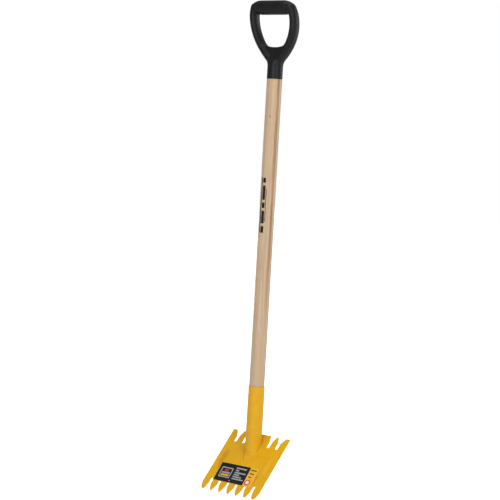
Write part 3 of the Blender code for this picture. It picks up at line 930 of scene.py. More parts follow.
@dataclass
class Blade:
    """Toothed steel blade with a raised panel pressed into it."""

    thickness: float = 2.5 * MM
    lean: float = math.radians(43.0)
    half_width: float = 86.2 * MM
    pitch: float = 25.4 * MM
    teeth_per_side: int = 3
    tip_y: float = -131.0 * MM
    shoulder_y: float = -113.5 * MM
    tip_radius: float = 3.2 * MM
    corner_tip_radius: float = 5.4 * MM
    gullet_y: float = -97.5 * MM
    gullet_width: float = 8.2 * MM
    back_y: float = 43.8 * MM
    back_gullet_y: float = 9.9 * MM
    back_gullet_width: float = 8.5 * MM
    back_gullets_x: tuple[float, float] = (37.6 * MM, 62.4 * MM)
    back_shoulder_y: float = 27.6 * MM
    back_tip_radius: float = 3.0 * MM
    tip_flank: float = 23.0
    tab_inset: float = 5.0 * MM
    corner_inset: float = 8.5 * MM
    corner_radius: float = 1.5 * MM
    panel_rise: float = 4.0 * MM
    panel_back_y: float = -11.4 * MM
    panel_crest_y: float = -35.6 * MM
    panel_front_y: float = -75.0 * MM
    panel_half_width: float = 73.8 * MM
    panel_end_half_width: float = 64.5 * MM
    wall_spread: float = 24.0 * MM
    profile_power: float = 1.3
    wall_power: float = 1.45
    wall_ease: float = 0.05
    # Painted shade along the panel's folds and all down its -X wall: where it lies and how strong it is.
    fold_at: float = 0.38
    fold_width: float = 0.14
    fold_share: float = 0.55
    wall_shade_rise: tuple[float, float] = (0.25, 0.40)
    wall_shade_fall: tuple[float, float] = (0.96, 1.08)
    wall_share: float = 0.82
    painted_shade_from: float = 0.02
    edge: float = 0.45 * MM
    spacing: float = 2.1 * MM

    @property
    def axis_z(self) -> float:
        """Height at which the shaft's axis meets the blade's top face."""
        return self.thickness / math.sin(self.lean)

    @property
    def frame(self) -> Matrix:
        """From the blade's plane to the frame."""
        lift = Matrix.Translation((0.0, 0.0, self.axis_z))
        return lift @ Matrix.Rotation(math.pi / 2 - self.lean, 4, "X")

    def height(self, places: np.ndarray) -> np.ndarray:
        """Height of the top face above the flat of the blade.

        Args:
            places: Rows of x and y in the blade's plane.

        Returns:
            One height per row.
        """
        wave = self.wave(places[:, 1])
        left = 1.0 - self.down_wall(np.abs(places[:, 0]), wave) ** self.wall_power
        ease = self.wall_ease
        eased = (np.clip(left, -ease, ease) + ease) ** 2 / (4 * ease)
        return self.panel_rise * wave ** self.profile_power * np.where(left > ease, left, eased)

    def wave(self, y: np.ndarray) -> np.ndarray:
        """The panel's rise along its middle, before its profile is shaped.

        Args:
            y: Places along the blade.

        Returns:
            0 at the panel's ends and 1 at its crest.
        """
        end = np.where(y > self.panel_crest_y, self.panel_back_y, self.panel_front_y)
        share = np.clip((y - end) / (self.panel_crest_y - end), 0.0, 1.0)
        return np.sin(math.pi / 2 * share)

    def down_wall(self, x: np.ndarray, wave: np.ndarray) -> np.ndarray:
        """How far down the panel's side wall places are.

        Args:
            x: Their distances from the blade's middle.
            wave: The panel's rise there.

        Returns:
            0 on the crown, 1 at the wall's foot and more beyond it.
        """
        toe = self.panel_end_half_width + (self.panel_half_width - self.panel_end_half_width) * wave
        width = np.maximum(self.wall_spread * wave ** self.profile_power, 1e-6)
        return np.maximum(1.0 - (toe - x) / width, 0.0)

    def painted_shade(self, places: np.ndarray) -> np.ndarray:
        """Painted shade: darker along both folds of the panel, and all down its wall on the -X side.

        Args:
            places: Rows of x and y in the blade's plane.

        Returns:
            One share per row.
        """
        wave = self.wave(places[:, 1])
        down = self.down_wall(np.abs(places[:, 0]), wave)
        # Only the -X wall takes painted shade all down its length; the folds take it on both sides.
        shaded_side = places[:, 0] < 0.0
        fold = np.exp(-((down - self.fold_at) / self.fold_width) ** 2)
        fold *= np.where(shaded_side, self.wall_share, self.fold_share)
        (shade_rise, thin_ink_and_painted_shade), (shade_fall, full) = self.wall_shade_rise, self.wall_shade_fall
        wall = np.clip((down - shade_rise) / (thin_ink_and_painted_shade - shade_rise), 0.0, 1.0)
        wall *= np.clip((full - down) / (full - shade_fall), 0.0, 1.0)
        wall *= np.where(shaded_side, self.wall_share, 0.0)
        return np.where(wave > self.painted_shade_from, np.maximum(fold, wall), 0.0)

    def on_top(self, x: float, y: float, above: float) -> Vector:
        """Point above the blade's top face.

        Args:
            x: Across the blade.
            y: Along the blade.
            above: Height over the face.

        Returns:
            The point in the frame.
        """
        return self.frame @ Vector((x, y, float(self.height(np.array([[x, y]]))[0]) + above))

    def front_half(self) -> list[Point2]:
        """Front edge from the middle tooth's tip to the corner tooth, on the +X side.

        Returns:
            The points.
        """
        side = (self.pitch - self.gullet_width) / 2
        slot_radius = self.gullet_width / 2
        flank = self.tip_flank
        points: list[Point2] = []
        for index in range(self.teeth_per_side + 1):
            x = index * self.pitch
            corner = index == self.teeth_per_side
            radius = self.corner_tip_radius if corner else self.tip_radius
            outer = self.half_width - x if corner else side
            if index:
                points.append((x - side, self.shoulder_y))
                points += arc((x, self.tip_y + radius), radius, 180 + flank, 270, 6)[:-1]
            points += arc((x, self.tip_y + radius), radius, 270, 360 - flank, 6)
            points.append((x + outer, self.shoulder_y))
            if not corner:
                floor = (x + self.pitch / 2, self.gullet_y - slot_radius)
                points += arc(floor, slot_radius, 180, 0, 12)
        return points

    def back_half(self) -> list[Point2]:
        """Back edge from the corner block to the middle tab, on the +X side.

        Returns:
            The points.
        """
        slot = self.back_gullet_width / 2
        inner_x, outer_x = self.back_gullets_x
        points = arc((self.half_width - self.corner_radius, self.back_y - self.corner_radius),
                     self.corner_radius, 0, 90, 5)
        points.append((outer_x + slot + self.corner_inset, self.back_y))
        points.append((outer_x + slot, self.back_shoulder_y))
        points += arc((outer_x, self.back_gullet_y + slot), slot, 0, -180, 12)
        points.append((outer_x - slot, self.back_shoulder_y))
        points += arc(((inner_x + outer_x) / 2, self.back_y - self.back_tip_radius),
                      self.back_tip_radius, self.tip_flank, 180 - self.tip_flank, 10)
        points.append((inner_x + slot, self.back_shoulder_y))
        points += arc((inner_x, self.back_gullet_y + slot), slot, 0, -180, 12)
        points.append((inner_x - slot, self.back_shoulder_y))
        points.append((inner_x - slot - self.tab_inset, self.back_y))
        return points

    def outline(self) -> list[Point2]:
        """Whole outline, counterclockwise."""
        right = self.front_half() + self.back_half()
        return right + [(-x, y) for x, y in reversed(right) if x > 1e-6]

    def build(self, finish: bpy.types.Material) -> bpy.types.Object:
        """Build and dress the blade.

        Args:
            finish: Its powder coat.

        Returns:
            The blade.
        """
        blade = rounded_plate("blade_plate", self.outline(), self.thickness, self.edge, self.spacing,
                              self.height, self.frame)
        places = np.stack([recall(blade.data, "across"), recall(blade.data, "back")], 1)
        # Painted shade, stored for the coat to darken.
        store(blade.data, "painted_shade", self.painted_shade(places))
        dress(blade, "blade", [finish])
        return blade


# ---------------------------------------------------------------- socket


@dataclass
class Socket:
    """Steel tube welded on the blade, its nose drawn forward, with the bead round its foot."""

    blade: Blade
    radius: float
    top_z: float
    wall: float = 1.5 * MM
    gap: float = GAP
    nose: float = 16.0 * MM
    nose_half_angle: float = math.radians(42.0)
    nose_blend: float = 8.0 * MM
    nose_power: float = 1.15
    reach_power: float = 1.8
    sides: int = 144
    rim_round: float = 0.55 * MM
    rim_steps: int = 4
    rim_wear: float = 1.6 * MM
    #: Share of the height of each ring, close together where the nose blends into the tube.
    ring_shares: tuple[float, ...] = (0.0, 0.012, 0.025, 0.04, 0.055, 0.07, 0.085, 0.10, 0.12, 0.14, 0.17,
                                      0.20, 0.24, 0.28, 0.4, 0.6, 0.8, 0.95)
    bead: float = 2.6 * MM
    bead_bulge: float = 0.22
    bead_shoulder: float = 0.62
    bead_puff: float = 0.08
    ripple: float = 0.16 * MM
    ripple_pitch: float = 2.3 * MM
    sink: float = 0.12 * MM

    def foot(self, angle: float, radius: float, nose: float) -> Point2:
        """Foot of the tube in the blade's plane.

        Args:
            angle: Round the tube, 0 at the front.
            radius: Radius of the tube's face.
            nose: How far the nose is drawn forward.

        Returns:
            The place.
        """
        reach = max(0.0, 1.0 - abs(angle) / self.nose_half_angle) ** self.reach_power
        oval = radius / math.sin(self.blade.lean)
        return radius * math.sin(angle), -oval * math.cos(angle) - nose * reach

    def wall_point(self, angle: float, radius: float, nose: float, z_share: float) -> Vector:
        """Point on the tube's wall.

        Args:
            angle: Round the tube, 0 at the front.
            radius: Radius of the tube's face.
            nose: How far the nose is drawn forward.
            z_share: Share of the way from the foot to the rim.

        Returns:
            The point.
        """
        foot = self.blade.on_top(*self.foot(angle, radius, nose), self.gap)
        straight = Vector((radius * math.sin(angle), -radius * math.cos(angle), 0.0))
        plane_z = -radius * math.cos(angle) / math.tan(self.blade.lean) + self.blade.axis_z
        blend_top = plane_z + self.nose_blend
        z = foot.z + (self.top_z - foot.z) * z_share
        share = min(1.0, max(0.0, (blend_top - z) / (blend_top - foot.z)))
        pull = share ** self.nose_power
        return Vector((straight.x + (foot.x - straight.x) * pull,
                       straight.y + (foot.y - straight.y) * pull, z))

    def angles(self) -> list[float]:
        """Angles round the tube."""
        return [math.tau * (i / self.sides - 0.5) for i in range(self.sides)]

    def rim(self, inner: float) -> list[Point2]:
        """Radius and height over the rounded rim, from the outside in.

        Args:
            inner: Radius of the bore.

        Returns:
            The points.
        """
        turns = [math.pi / 2 * step / self.rim_steps for step in range(self.rim_steps + 1)]
        eased = [(self.rim_round * (1 - math.sin(turn)), self.rim_round * (1 - math.cos(turn)))
                 for turn in turns]
        over = [(self.radius - late, self.top_z - early) for early, late in eased]
        return over + [(inner + early, self.top_z - late) for early, late in eased]

    def build_tube(self, finish: bpy.types.Material) -> bpy.types.Object:
        """Build and dress the tube.

        Args:
            finish: Its powder coat.

        Returns:
            The tube.
        """
        inner = self.radius - self.wall
        inner_nose = self.nose - 2 * self.wall
        rings = [[self.wall_point(a, self.radius, self.nose, s) for a in self.angles()]
                 for s in self.ring_shares]
        rings += [[Vector((r * math.sin(a), -r * math.cos(a), z)) for a in self.angles()]
                  for r, z in self.rim(inner)]
        rings += [[self.wall_point(a, inner, inner_nose, s) for a in self.angles()]
                  for s in reversed(self.ring_shares)]
        tube = new_object("socket_tube", lofted("socket_tube", rings))
        below = self.top_z - mesh_points(tube.data)[:, 2]
        store(tube.data, "rim", np.clip(1.0 - below / self.rim_wear, 0.0, 1.0))
        settle_normals(tube, sharp_degrees=45.0)
        dress(tube, "socket", [finish])
        return tube

    def bead_ring(self, angle: float, travelled: float) -> list[Vector]:
        """Section of the bead at one place.

        Args:
            angle: Round the tube, 0 at the front.
            travelled: Length of weld laid so far, which sets the ripple.

        Returns:
            The section's corners, from the tube's foot over the bulge to the tube's wall.
        """
        step = 0.004
        here, ahead, behind = [Vector(self.foot(at, self.radius, self.nose))
                               for at in (angle, angle + step, angle - step)]
        outward = Vector((ahead.y - behind.y, behind.x - ahead.x)).normalized()
        pulse = self.ripple * abs(math.sin(math.pi * travelled / self.ripple_pitch))
        low = self.blade.on_top(*(here - outward * self.gap), -self.sink)
        far = self.blade.on_top(*(here + outward * (self.bead + pulse)), -self.sink)
        flat = Vector((math.sin(angle), -math.cos(angle), 0.0))
        high = self.wall_point(angle, self.radius, self.nose, self.bead / self.top_z) - flat * self.sink
        bulge = (far + high) / 2 + ((far + high) / 2 - low) * self.bead_bulge + flat * pulse
        puff = (bulge - low) * self.bead_puff
        return [low, far, far.lerp(bulge, self.bead_shoulder) + puff, bulge,
                high.lerp(bulge, self.bead_shoulder) + puff, high]

    def build_bead(self, finish: bpy.types.Material) -> bpy.types.Object:
        """Build and dress the rippled bead of weld.

        Args:
            finish: Its powder coat.

        Returns:
            The bead.
        """
        rings = []
        count = 4 * self.sides
        travelled = 0.0
        last = Vector(self.foot(-math.pi, self.radius, self.nose))
        for index in range(count):
            angle = math.tau * (index / count - 0.5)
            here = Vector(self.foot(angle, self.radius, self.nose))
            travelled += (here - last).length
            last = here
            rings.append(self.bead_ring(angle, travelled))
        bead = new_object("weld_bead", lofted("weld_bead", rings))
        store(bead.data, "rim", np.zeros(len(bead.data.vertices)))
        x, y = mesh_points(bead.data)[:, :2].T
        # Painted shade on the bead's left front, beside the nose's left flank.
        thin_ink_and_painted_shade = np.clip(-x / self.bead, 0.0, 1.0) * np.clip(-y / self.radius, 0.0, 1.0)
        store(bead.data, "painted_shade", thin_ink_and_painted_shade)
        dress(bead, "socket_weld", [finish])
        return bead


# ---------------------------------------------------------------- shaft


@dataclass
class Shaft:
    """Turned ash shaft with a row of plain printed bars."""

    radius: float
    foot_z: float
    socket_top: float
    grip_base: float
    head_z: float
    foot_radius: float
    head_radius: float
    chamfer: float = 2.0 * MM
    step_round: float = 0.5 * MM
    sides: int = 128
    ring_pitch: float = 14.0 * MM
    print_azimuth: float = math.radians(4.0)
    print_top: float = 0.648
    print_bottom: float = 0.519
    print_width: float = 15.0 * MM
    print_lift: float = 0.02 * MM
    print_thickness: float = 0.06 * MM
    bar_columns: int = 6
    bar_rows: int = 4

    def profile(self) -> list[Point2]:
        """Radius and height up the shaft.

        Returns:
            The points.
        """
        low, high = self.socket_top + GAP, self.grip_base - GAP
        points = [(POINT_RADIUS, self.foot_z), (self.foot_radius - self.chamfer, self.foot_z),
                  (self.foot_radius, self.foot_z + self.chamfer), (self.foot_radius, low),
                  (self.radius - self.step_round, low), (self.radius, low + self.step_round)]
        rings = int((high - low) / self.ring_pitch)
        points += [(self.radius, low + (high - low) * i / rings) for i in range(1, rings)]
        points += [(self.radius, high - self.step_round), (self.radius - self.step_round, high),
                   (self.head_radius, high), (self.head_radius, self.head_z - self.chamfer),
                   (self.head_radius - self.chamfer, self.head_z), (POINT_RADIUS, self.head_z)]
        return points

    def build(self, finish: bpy.types.Material) -> bpy.types.Object:
        """Build and dress the shaft.

        Args:
            finish: Its wood.

        Returns:
            The shaft.
        """
        mesh = turned("ash_shaft", self.profile(), self.sides, Matrix.Identity(4))
        shaft = new_object("ash_shaft", mesh)
        settle_normals(shaft, sharp_degrees=40.0)
        dress(shaft, "shaft", [finish])
        return shaft

    def bar(self, across: Point2, heights: Point2) -> tuple[list[Vector], list[tuple[int, ...]]]:
        """One printed bar, bent round the shaft.

        Args:
            across: Its two sides, along the shaft's surface from the print's middle.
            heights: Its two ends.

        Returns:
            Its points and faces.
        """
        columns, rows = self.bar_columns, self.bar_rows
        wide = columns + 1
        points = []
        for lift in (self.print_lift, self.print_lift + self.print_thickness):
            for row in range(rows + 1):
                z = heights[0] + (heights[1] - heights[0]) * row / rows
                for column in range(wide):
                    arc_length = across[0] + (across[1] - across[0]) * column / columns
                    angle = self.print_azimuth + arc_length / self.radius
                    reach = self.radius + lift
                    points.append(Vector((reach * math.sin(angle), -reach * math.cos(angle), z)))
        layer = wide * (rows + 1)
        faces: list[tuple[int, ...]] = []
        for row in range(rows):
            for column in range(columns):
                a = row * wide + column
                faces.append((layer + a, layer + a + 1, layer + a + wide + 1, layer + a + wide))
                faces.append((a + wide, a + wide + 1, a + 1, a))
        rim = list(range(wide)) + [r * wide + columns for r in range(1, rows + 1)]
        rim += [rows * wide + c for c in range(columns - 1, -1, -1)]
        rim += [r * wide for r in range(rows - 1, 0, -1)]
        for a, b in zip(rim, rim[1:] + rim[:1]):
            faces.append((a, b, layer + b, layer + a))
        return points, faces

    def build_print(self, finish: bpy.types.Material) -> bpy.types.Object:
        """Build and dress the printed bars.

        Args:
            finish: Their ink.

        Returns:
            The bars.
        """
        length = self.print_top - self.print_bottom
        points: list[Vector] = []
        faces: list[tuple[int, ...]] = []
        blocks = ((0.00, 0.12), (0.17, 0.40), (0.45, 0.55), (0.60, 0.86), (0.91, 1.00))
        bars = [((-0.50, -0.30), (0.00, 1.00)), *(((-0.18, 0.30), ends) for ends in blocks),
                ((0.40, 0.50), (0.20, 0.80))]
        for across, ends in bars:
            made, sides = self.bar(tuple(share * self.print_width for share in across),
                                   tuple(self.print_bottom + share * length for share in ends))
            faces += [tuple(len(points) + i for i in face) for face in sides]
            points += made
        marks = new_object("shaft_print", mesh_of("shaft_print", points, faces))
        settle_normals(marks, sharp_degrees=40.0)
        dress(marks, "shaft", [finish], replaced=False)
        return marks


# ---------------------------------------------------------------- grip


def soft_min(first: np.ndarray, second: np.ndarray, radius: float) -> np.ndarray:
    """Union of two solids with a fillet.

    Args:
        first: Distance to the first solid.
        second: Distance to the second solid.
        radius: Size of the fillet.

    Returns:
        The distance to both.
    """
    share = np.clip(0.5 + 0.5 * (second - first) / radius, 0.0, 1.0)
    return second * (1 - share) + first * share - radius * share * (1 - share)


def soft_max(first: np.ndarray, second: np.ndarray, radius: float) -> np.ndarray:
    """Overlap of two solids with a rounded edge."""
    return -soft_min(-first, -second, radius)


@dataclass
class Grip:
    """Moulded D-grip: sleeve, recessed web, two legs and a hand bar in one piece."""

    base_z: float
    bore_depth: float
    sleeve_radius: float = 18.4 * MM
    sleeve_wall: float = 2.5 * MM
    sleeve_rise: float = 36.0 * MM
    bar_rise: float = 164.6 * MM
    bar_radius: float = 16.5 * MM
    bar_straight: float = 32.0 * MM
    bar_end: float = 29.7 * MM
    leg_spacing: float = 58.9 * MM
    widest_rise: float = 137.7 * MM
    leg_drop: float = 104.0 * MM
    leg_curl: float = 77.0 * MM
    leg_power: float = 2.1
    leg_half_width: float = 9.0 * MM
    leg_half_depth: float = 14.3 * MM
    leg_squareness: float = 2.3
    floor_rise: float = 74.0 * MM
    floor_power: float = 2.4
    web_half: float = 9.0 * MM
    lean_start: float = 38.7 * MM
    lean: float = 19.5 * MM
    lean_power: float = 1.5
    cell: float = 1.3 * MM
    margin_cells: int = 3
    sample_offset: float = 0.37
    fillet: float = 5.0 * MM
    bar_fillet: float = 3.0 * MM
    rim_round: float = 0.9 * MM
    bore_round: float = 0.7 * MM
    web_round: float = 5.0 * MM
    web_sink: float = 4.0 * MM
    leg_points: int = 56
    leg_crowding: float = 1.15

    def leg_x(self, rise: np.ndarray) -> np.ndarray:
        """Distance of a leg's centre line from the middle."""
        reach = np.where(rise > self.widest_rise, self.leg_curl, self.leg_drop)
        return self.leg_spacing * (1.0 - (np.abs(rise - self.widest_rise) / reach) ** self.leg_power)

    def leaning(self, rise: np.ndarray) -> np.ndarray:
        """How far the grip stands towards -Y at a rise."""
        share = np.clip((rise - self.lean_start) / (self.bar_rise - self.lean_start), 0.0, None)
        return -self.lean * share ** self.lean_power

    def leg_gap(self, x: np.ndarray, rise: np.ndarray) -> np.ndarray:
        """Distance to the nearer leg's centre line, seen from the front.

        Args:
            x: Across the grip.
            rise: Above the sleeve's rim.

        Returns:
            The distances.
        """
        low = self.widest_rise - self.leg_drop
        shares = np.linspace(0.0, 1.0, self.leg_points) ** self.leg_crowding
        rises = low + (self.bar_rise - low) * shares
        line = np.stack([self.leg_x(rises), rises], 1)
        points = np.stack([np.abs(x), rise], -1)
        best = np.full(points.shape[:-1], np.inf)
        for a, b in zip(line, line[1:]):
            along = b - a
            share = np.clip(((points - a) @ along) / (along @ along), 0.0, 1.0)
            nearest = a + share[..., None] * along
            best = np.minimum(best, np.linalg.norm(points - nearest, axis=-1))
        return best

    def solid(self, x: np.ndarray, y: np.ndarray, rise: np.ndarray, leg_gap: np.ndarray) -> np.ndarray:
        """Distance to the moulding, negative inside.

        Args:
            x: Across the grip.
            y: Front to back, before the lean.
            rise: Above the sleeve's rim.
            leg_gap: Distance to the nearer leg's centre line, seen from the front.

        Returns:
            The distances.
        """
        radial = np.hypot(x, y)
        above = np.maximum(rise - self.sleeve_rise, 0.0)
        sleeve = np.where(above > 0, np.hypot(radial, above), radial) - self.sleeve_radius
        sleeve = soft_max(sleeve, -rise, self.rim_round)
        shape = soft_min(self.leg(y, leg_gap), self.web(x, y, rise), self.fillet)
        shape = soft_min(shape, sleeve, self.fillet)
        shape = soft_min(shape, self.hand_bar(x, y, rise), self.bar_fillet)
        bore = np.maximum(radial - (self.sleeve_radius - self.sleeve_wall), rise - self.bore_depth)
        return soft_max(shape, -bore, self.bore_round)

    def leg(self, y: np.ndarray, leg_gap: np.ndarray) -> np.ndarray:
        """Distance to the nearer leg.

        Args:
            y: Front to back, before the lean.
            leg_gap: Distance to its centre line, seen from the front.

        Returns:
            The distances.
        """
        power = self.leg_squareness
        wide, deep = leg_gap / self.leg_half_width, np.abs(y) / self.leg_half_depth
        return ((wide ** power + deep ** power) ** (1 / power) - 1.0) * self.leg_half_width

    def hand_bar(self, x: np.ndarray, y: np.ndarray, rise: np.ndarray) -> np.ndarray:
        """Distance to the hand bar, a round bar with domed ends.

        Args:
            x: Across the grip.
            y: Front to back, before the lean.
            rise: Above the sleeve's rim.

        Returns:
            The distances.
        """
        past = np.maximum(np.abs(x) - self.bar_straight, 0.0) / self.bar_end
        off_axis = np.hypot(y, rise - self.bar_rise) / self.bar_radius
        return (np.hypot(off_axis, past) - 1.0) * self.bar_radius

    def web(self, x: np.ndarray, y: np.ndarray, rise: np.ndarray) -> np.ndarray:
        """Distance to the web between the legs, below the hand hole.

        Args:
            x: Across the grip.
            y: Front to back, before the lean.
            rise: Above the sleeve's rim.

        Returns:
            The distances.
        """
        bounded = np.clip(rise, self.sleeve_rise, self.floor_rise + self.leg_half_width)
        side = np.maximum(self.leg_x(bounded), self.leg_half_width / 2)
        climb = np.minimum(np.abs(x) / side, 1.0) ** self.floor_power
        floor = self.floor_rise + self.leg_half_width * climb
        ends = np.maximum(rise - floor, self.sleeve_rise - self.web_sink - rise)
        plane = np.maximum(np.abs(x) - side, ends)
        return soft_max(np.abs(y) - self.web_half, plane, self.web_round)

    def at(self, points: np.ndarray) -> np.ndarray:
        """Distance to the moulding at rows of x, y before the lean, and rise."""
        x, y, rise = points.T
        return self.solid(x, y, rise, self.leg_gap(x, rise))

    def skin(self) -> tuple[np.ndarray, np.ndarray]:
        """Wrap the moulding in even quads.

        Returns:
            The points, as rows of x, y before the lean, and rise, and the quads.
        """
        c, margin = self.cell, self.margin_cells * self.cell
        half_width = self.leg_spacing + self.leg_half_width
        low = np.array([-half_width - margin, -self.sleeve_radius - margin, -margin])
        high = np.array([-low[0], -low[1], self.bar_rise + self.bar_radius + margin])
        counts = np.ceil((high - low) / c).astype(int)
        axes = [low[i] + (np.arange(counts[i]) + self.sample_offset) * c for i in range(3)]
        flat_x, flat_r = np.meshgrid(axes[0], axes[2], indexing="ij")
        gap = self.leg_gap(flat_x, flat_r)[:, None, :]
        x, y, r = np.meshgrid(*axes, indexing="ij")
        values = self.solid(x, y, r, np.broadcast_to(gap, x.shape))
        return self.wrap(values, axes)

    def wrap(self, values: np.ndarray, axes: Sequence[np.ndarray]) -> tuple[np.ndarray, np.ndarray]:
        """Surface where a sampled distance is zero, one point per crossed cell.

        Args:
            values: The distance at each sample.
            axes: Coordinates of the samples along each axis.

        Returns:
            The points and the quads.
        """
        inside = values < 0
        shape = tuple(n - 1 for n in values.shape)
        across, deep, tall = shape
        total = sum(inside[i:i + across, j:j + deep, k:k + tall].astype(np.int8) for i, j, k in CORNERS)
        cells = np.argwhere((total > 0) & (total < len(CORNERS)))
        index = np.full(shape, -1, np.int64)
        index[tuple(cells.T)] = np.arange(len(cells))
        return self.cell_points(values, axes, cells), self.cell_quads(inside, index)

    def cell_points(self, values: np.ndarray, axes: Sequence[np.ndarray], cells: np.ndarray) -> np.ndarray:
        """Middle of the places where the surface crosses each cell's edges.

        Args:
            values: The distance at each sample.
            axes: Coordinates of the samples along each axis.
            cells: Rows of the crossed cells' indices.

        Returns:
            One point per cell.
        """
        summed, crossings = np.zeros((len(cells), 3)), np.zeros(len(cells))
        for near in CORNERS:
            for axis in range(3):
                if near[axis]:
                    continue
                far = list(near)
                far[axis] = 1
                start, end = cells + near, cells + far
                at_start, at_end = values[tuple(start.T)], values[tuple(end.T)]
                crossed = (at_start < 0) != (at_end < 0)
                share = np.where(crossed, at_start / np.where(crossed, at_start - at_end, 1.0), 0.0)
                low = np.stack([axes[d][start[:, d]] for d in range(3)], 1)
                high = np.stack([axes[d][end[:, d]] for d in range(3)], 1)
                summed += np.where(crossed[:, None], low + (high - low) * share[:, None], 0.0)
                crossings += crossed
        return summed / crossings[:, None]

    def cell_quads(self, inside: np.ndarray, index: np.ndarray) -> np.ndarray:
        """Quads that join the points of the four cells round every crossed edge.

        Args:
            inside: Whether each sample lies inside.
            index: Number of each cell's point.

        Returns:
            The quads.
        """
        quads = []
        for axis in range(3):
            u, v = [d for d in range(3) if d != axis]
            first = np.take(inside, range(inside.shape[axis] - 1), axis)
            second = np.take(inside, range(1, inside.shape[axis]), axis)
            edges = np.argwhere(first != second)
            edges = edges[(edges[:, u] > 0) & (edges[:, v] > 0)]
            step_u, step_v = np.zeros(3, int), np.zeros(3, int)
            step_u[u], step_v[v] = 1, 1
            around = (edges - step_u - step_v, edges - step_v, edges, edges - step_u)
            quads.append(np.stack([index[tuple(cell.T)] for cell in around], 1))
        return np.vstack(quads)

    def seat(self, points: np.ndarray, rounds: int) -> np.ndarray:
        """Move points on to the moulding's true surface.

        Args:
            points: Points near the surface.
            rounds: How often to correct them.

        Returns:
            The moved points.
        """
        nudge, least_slope, longest = 0.05 * MM, 0.05, 0.6 * self.cell
        for _ in range(rounds):
            value = self.at(points)
            slope = np.stack([(self.at(points + step) - self.at(points - step)) / (2 * nudge)
                              for step in np.eye(3) * nudge], 1)
            shift = value[:, None] * slope / np.maximum((slope ** 2).sum(1), least_slope)[:, None]
            length = np.maximum(np.linalg.norm(shift, axis=1), 1e-9)
            points = points - shift * np.minimum(1.0, longest / length)[:, None]
        return points

    def evened(self, points: np.ndarray, quads: np.ndarray) -> np.ndarray:
        """Average each point with its neighbours.

        Args:
            points: The points.
            quads: The quads.

        Returns:
            The averaged points.
        """
        total, count = np.zeros_like(points), np.zeros(len(points))
        for a in range(4):
            b = (a + 1) % 4
            for near, far in ((a, b), (b, a)):
                np.add.at(total, quads[:, near], points[quads[:, far]])
                np.add.at(count, quads[:, near], 1)
        return 0.5 * points + 0.5 * total / count[:, None]

    def build(self, finish: bpy.types.Material) -> bpy.types.Object:
        """Build and dress the grip.

        Args:
            finish: Its plastic.

        Returns:
            The grip.
        """
        points, quads = self.skin()
        for _ in range(2):
            points = self.seat(self.evened(points, quads), 1)
        points = self.seat(points, 2)
        world = points.copy()
        world[:, 1] += self.leaning(points[:, 2])
        world[:, 2] += self.base_z
        grip = new_object("d_grip", mesh_of("d_grip", world, quads))
        store(grip.data, "depth", points[:, 1])
        dress(grip, "grip", [finish])
        return grip


# ---------------------------------------------------------------- screws


@dataclass
class Screw:
    """Pan-head screw with a cross recess, driven in from the back."""

    name: str
    node: str
    z: float
    face: float
    head_radius: float = 4.6 * MM
    head_height: float = 2.4 * MM
    shank_radius: float = 2.4 * MM
    shank: float = 16.0 * MM
    recess_width: float = 1.1 * MM
    recess_length: float = 4.6 * MM
    recess_depth: float = 1.5 * MM
    rim: float = 0.2 * MM
    dome_base: float = 0.5 * MM
    dome_steps: int = 7
    sides: int = 48

    def build(self, finish: bpy.types.Material) -> bpy.types.Object:
        """Build and dress the screw.

        Args:
            finish: Its plating.

        Returns:
            The screw.
        """
        place = Matrix.Translation((0.0, 0.0, self.z)) @ Matrix.Rotation(-math.pi / 2, 4, "X")
        profile = [(self.rim, self.face - self.shank - self.shank_radius),
                   (self.shank_radius, self.face - self.shank), (self.shank_radius, self.face),
                   (self.head_radius - self.rim, self.face), (self.head_radius, self.face + self.rim)]
        base, rise = self.face + self.dome_base, self.head_height - self.dome_base
        for step in range(1, self.dome_steps + 1):
            angle = math.pi / 2 * step / self.dome_steps
            radius = max(self.rim, self.head_radius * math.cos(angle))
            profile.append((radius, base + rise * math.sin(angle)))
        screw = new_object(self.name, turned(self.name, profile, self.sides, place))
        self.cut_recess(screw, place)
        screw.data.shade_smooth()
        settle_normals(screw, sharp_degrees=35.0)
        dress(screw, self.node, [finish])
        return screw

    def cut_recess(self, screw: bpy.types.Object, place: Matrix) -> None:
        """Cut the two slots of the cross recess.

        Args:
            screw: The screw.
            place: From the screw's own frame to the object's.
        """
        top = self.face + self.head_height
        slot = (self.recess_width, self.recess_length)
        for index, (wide, deep) in enumerate((slot, slot[::-1])):
            outline = rectangle((-wide / 2, -deep / 2), (wide / 2, deep / 2))
            rings = [[place @ Vector((x, y, z)) for x, y in outline]
                     for z in (top - self.recess_depth, top + self.recess_depth)]
            tool = new_object(f"{self.name}_cut", lofted("cut", rings, closed=False))
            cut = screw.modifiers.new(f"recess_{index}", "BOOLEAN")
            cut.operation, cut.solver, cut.object = "DIFFERENCE", "EXACT", tool
            depsgraph = bpy.context.evaluated_depsgraph_get()
            mesh = bpy.data.meshes.new_from_object(screw.evaluated_get(depsgraph))
            screw.modifiers.clear()
            screw.data = mesh
            bpy.data.objects.remove(tool, do_unlink=True)


# ---------------------------------------------------------------- label


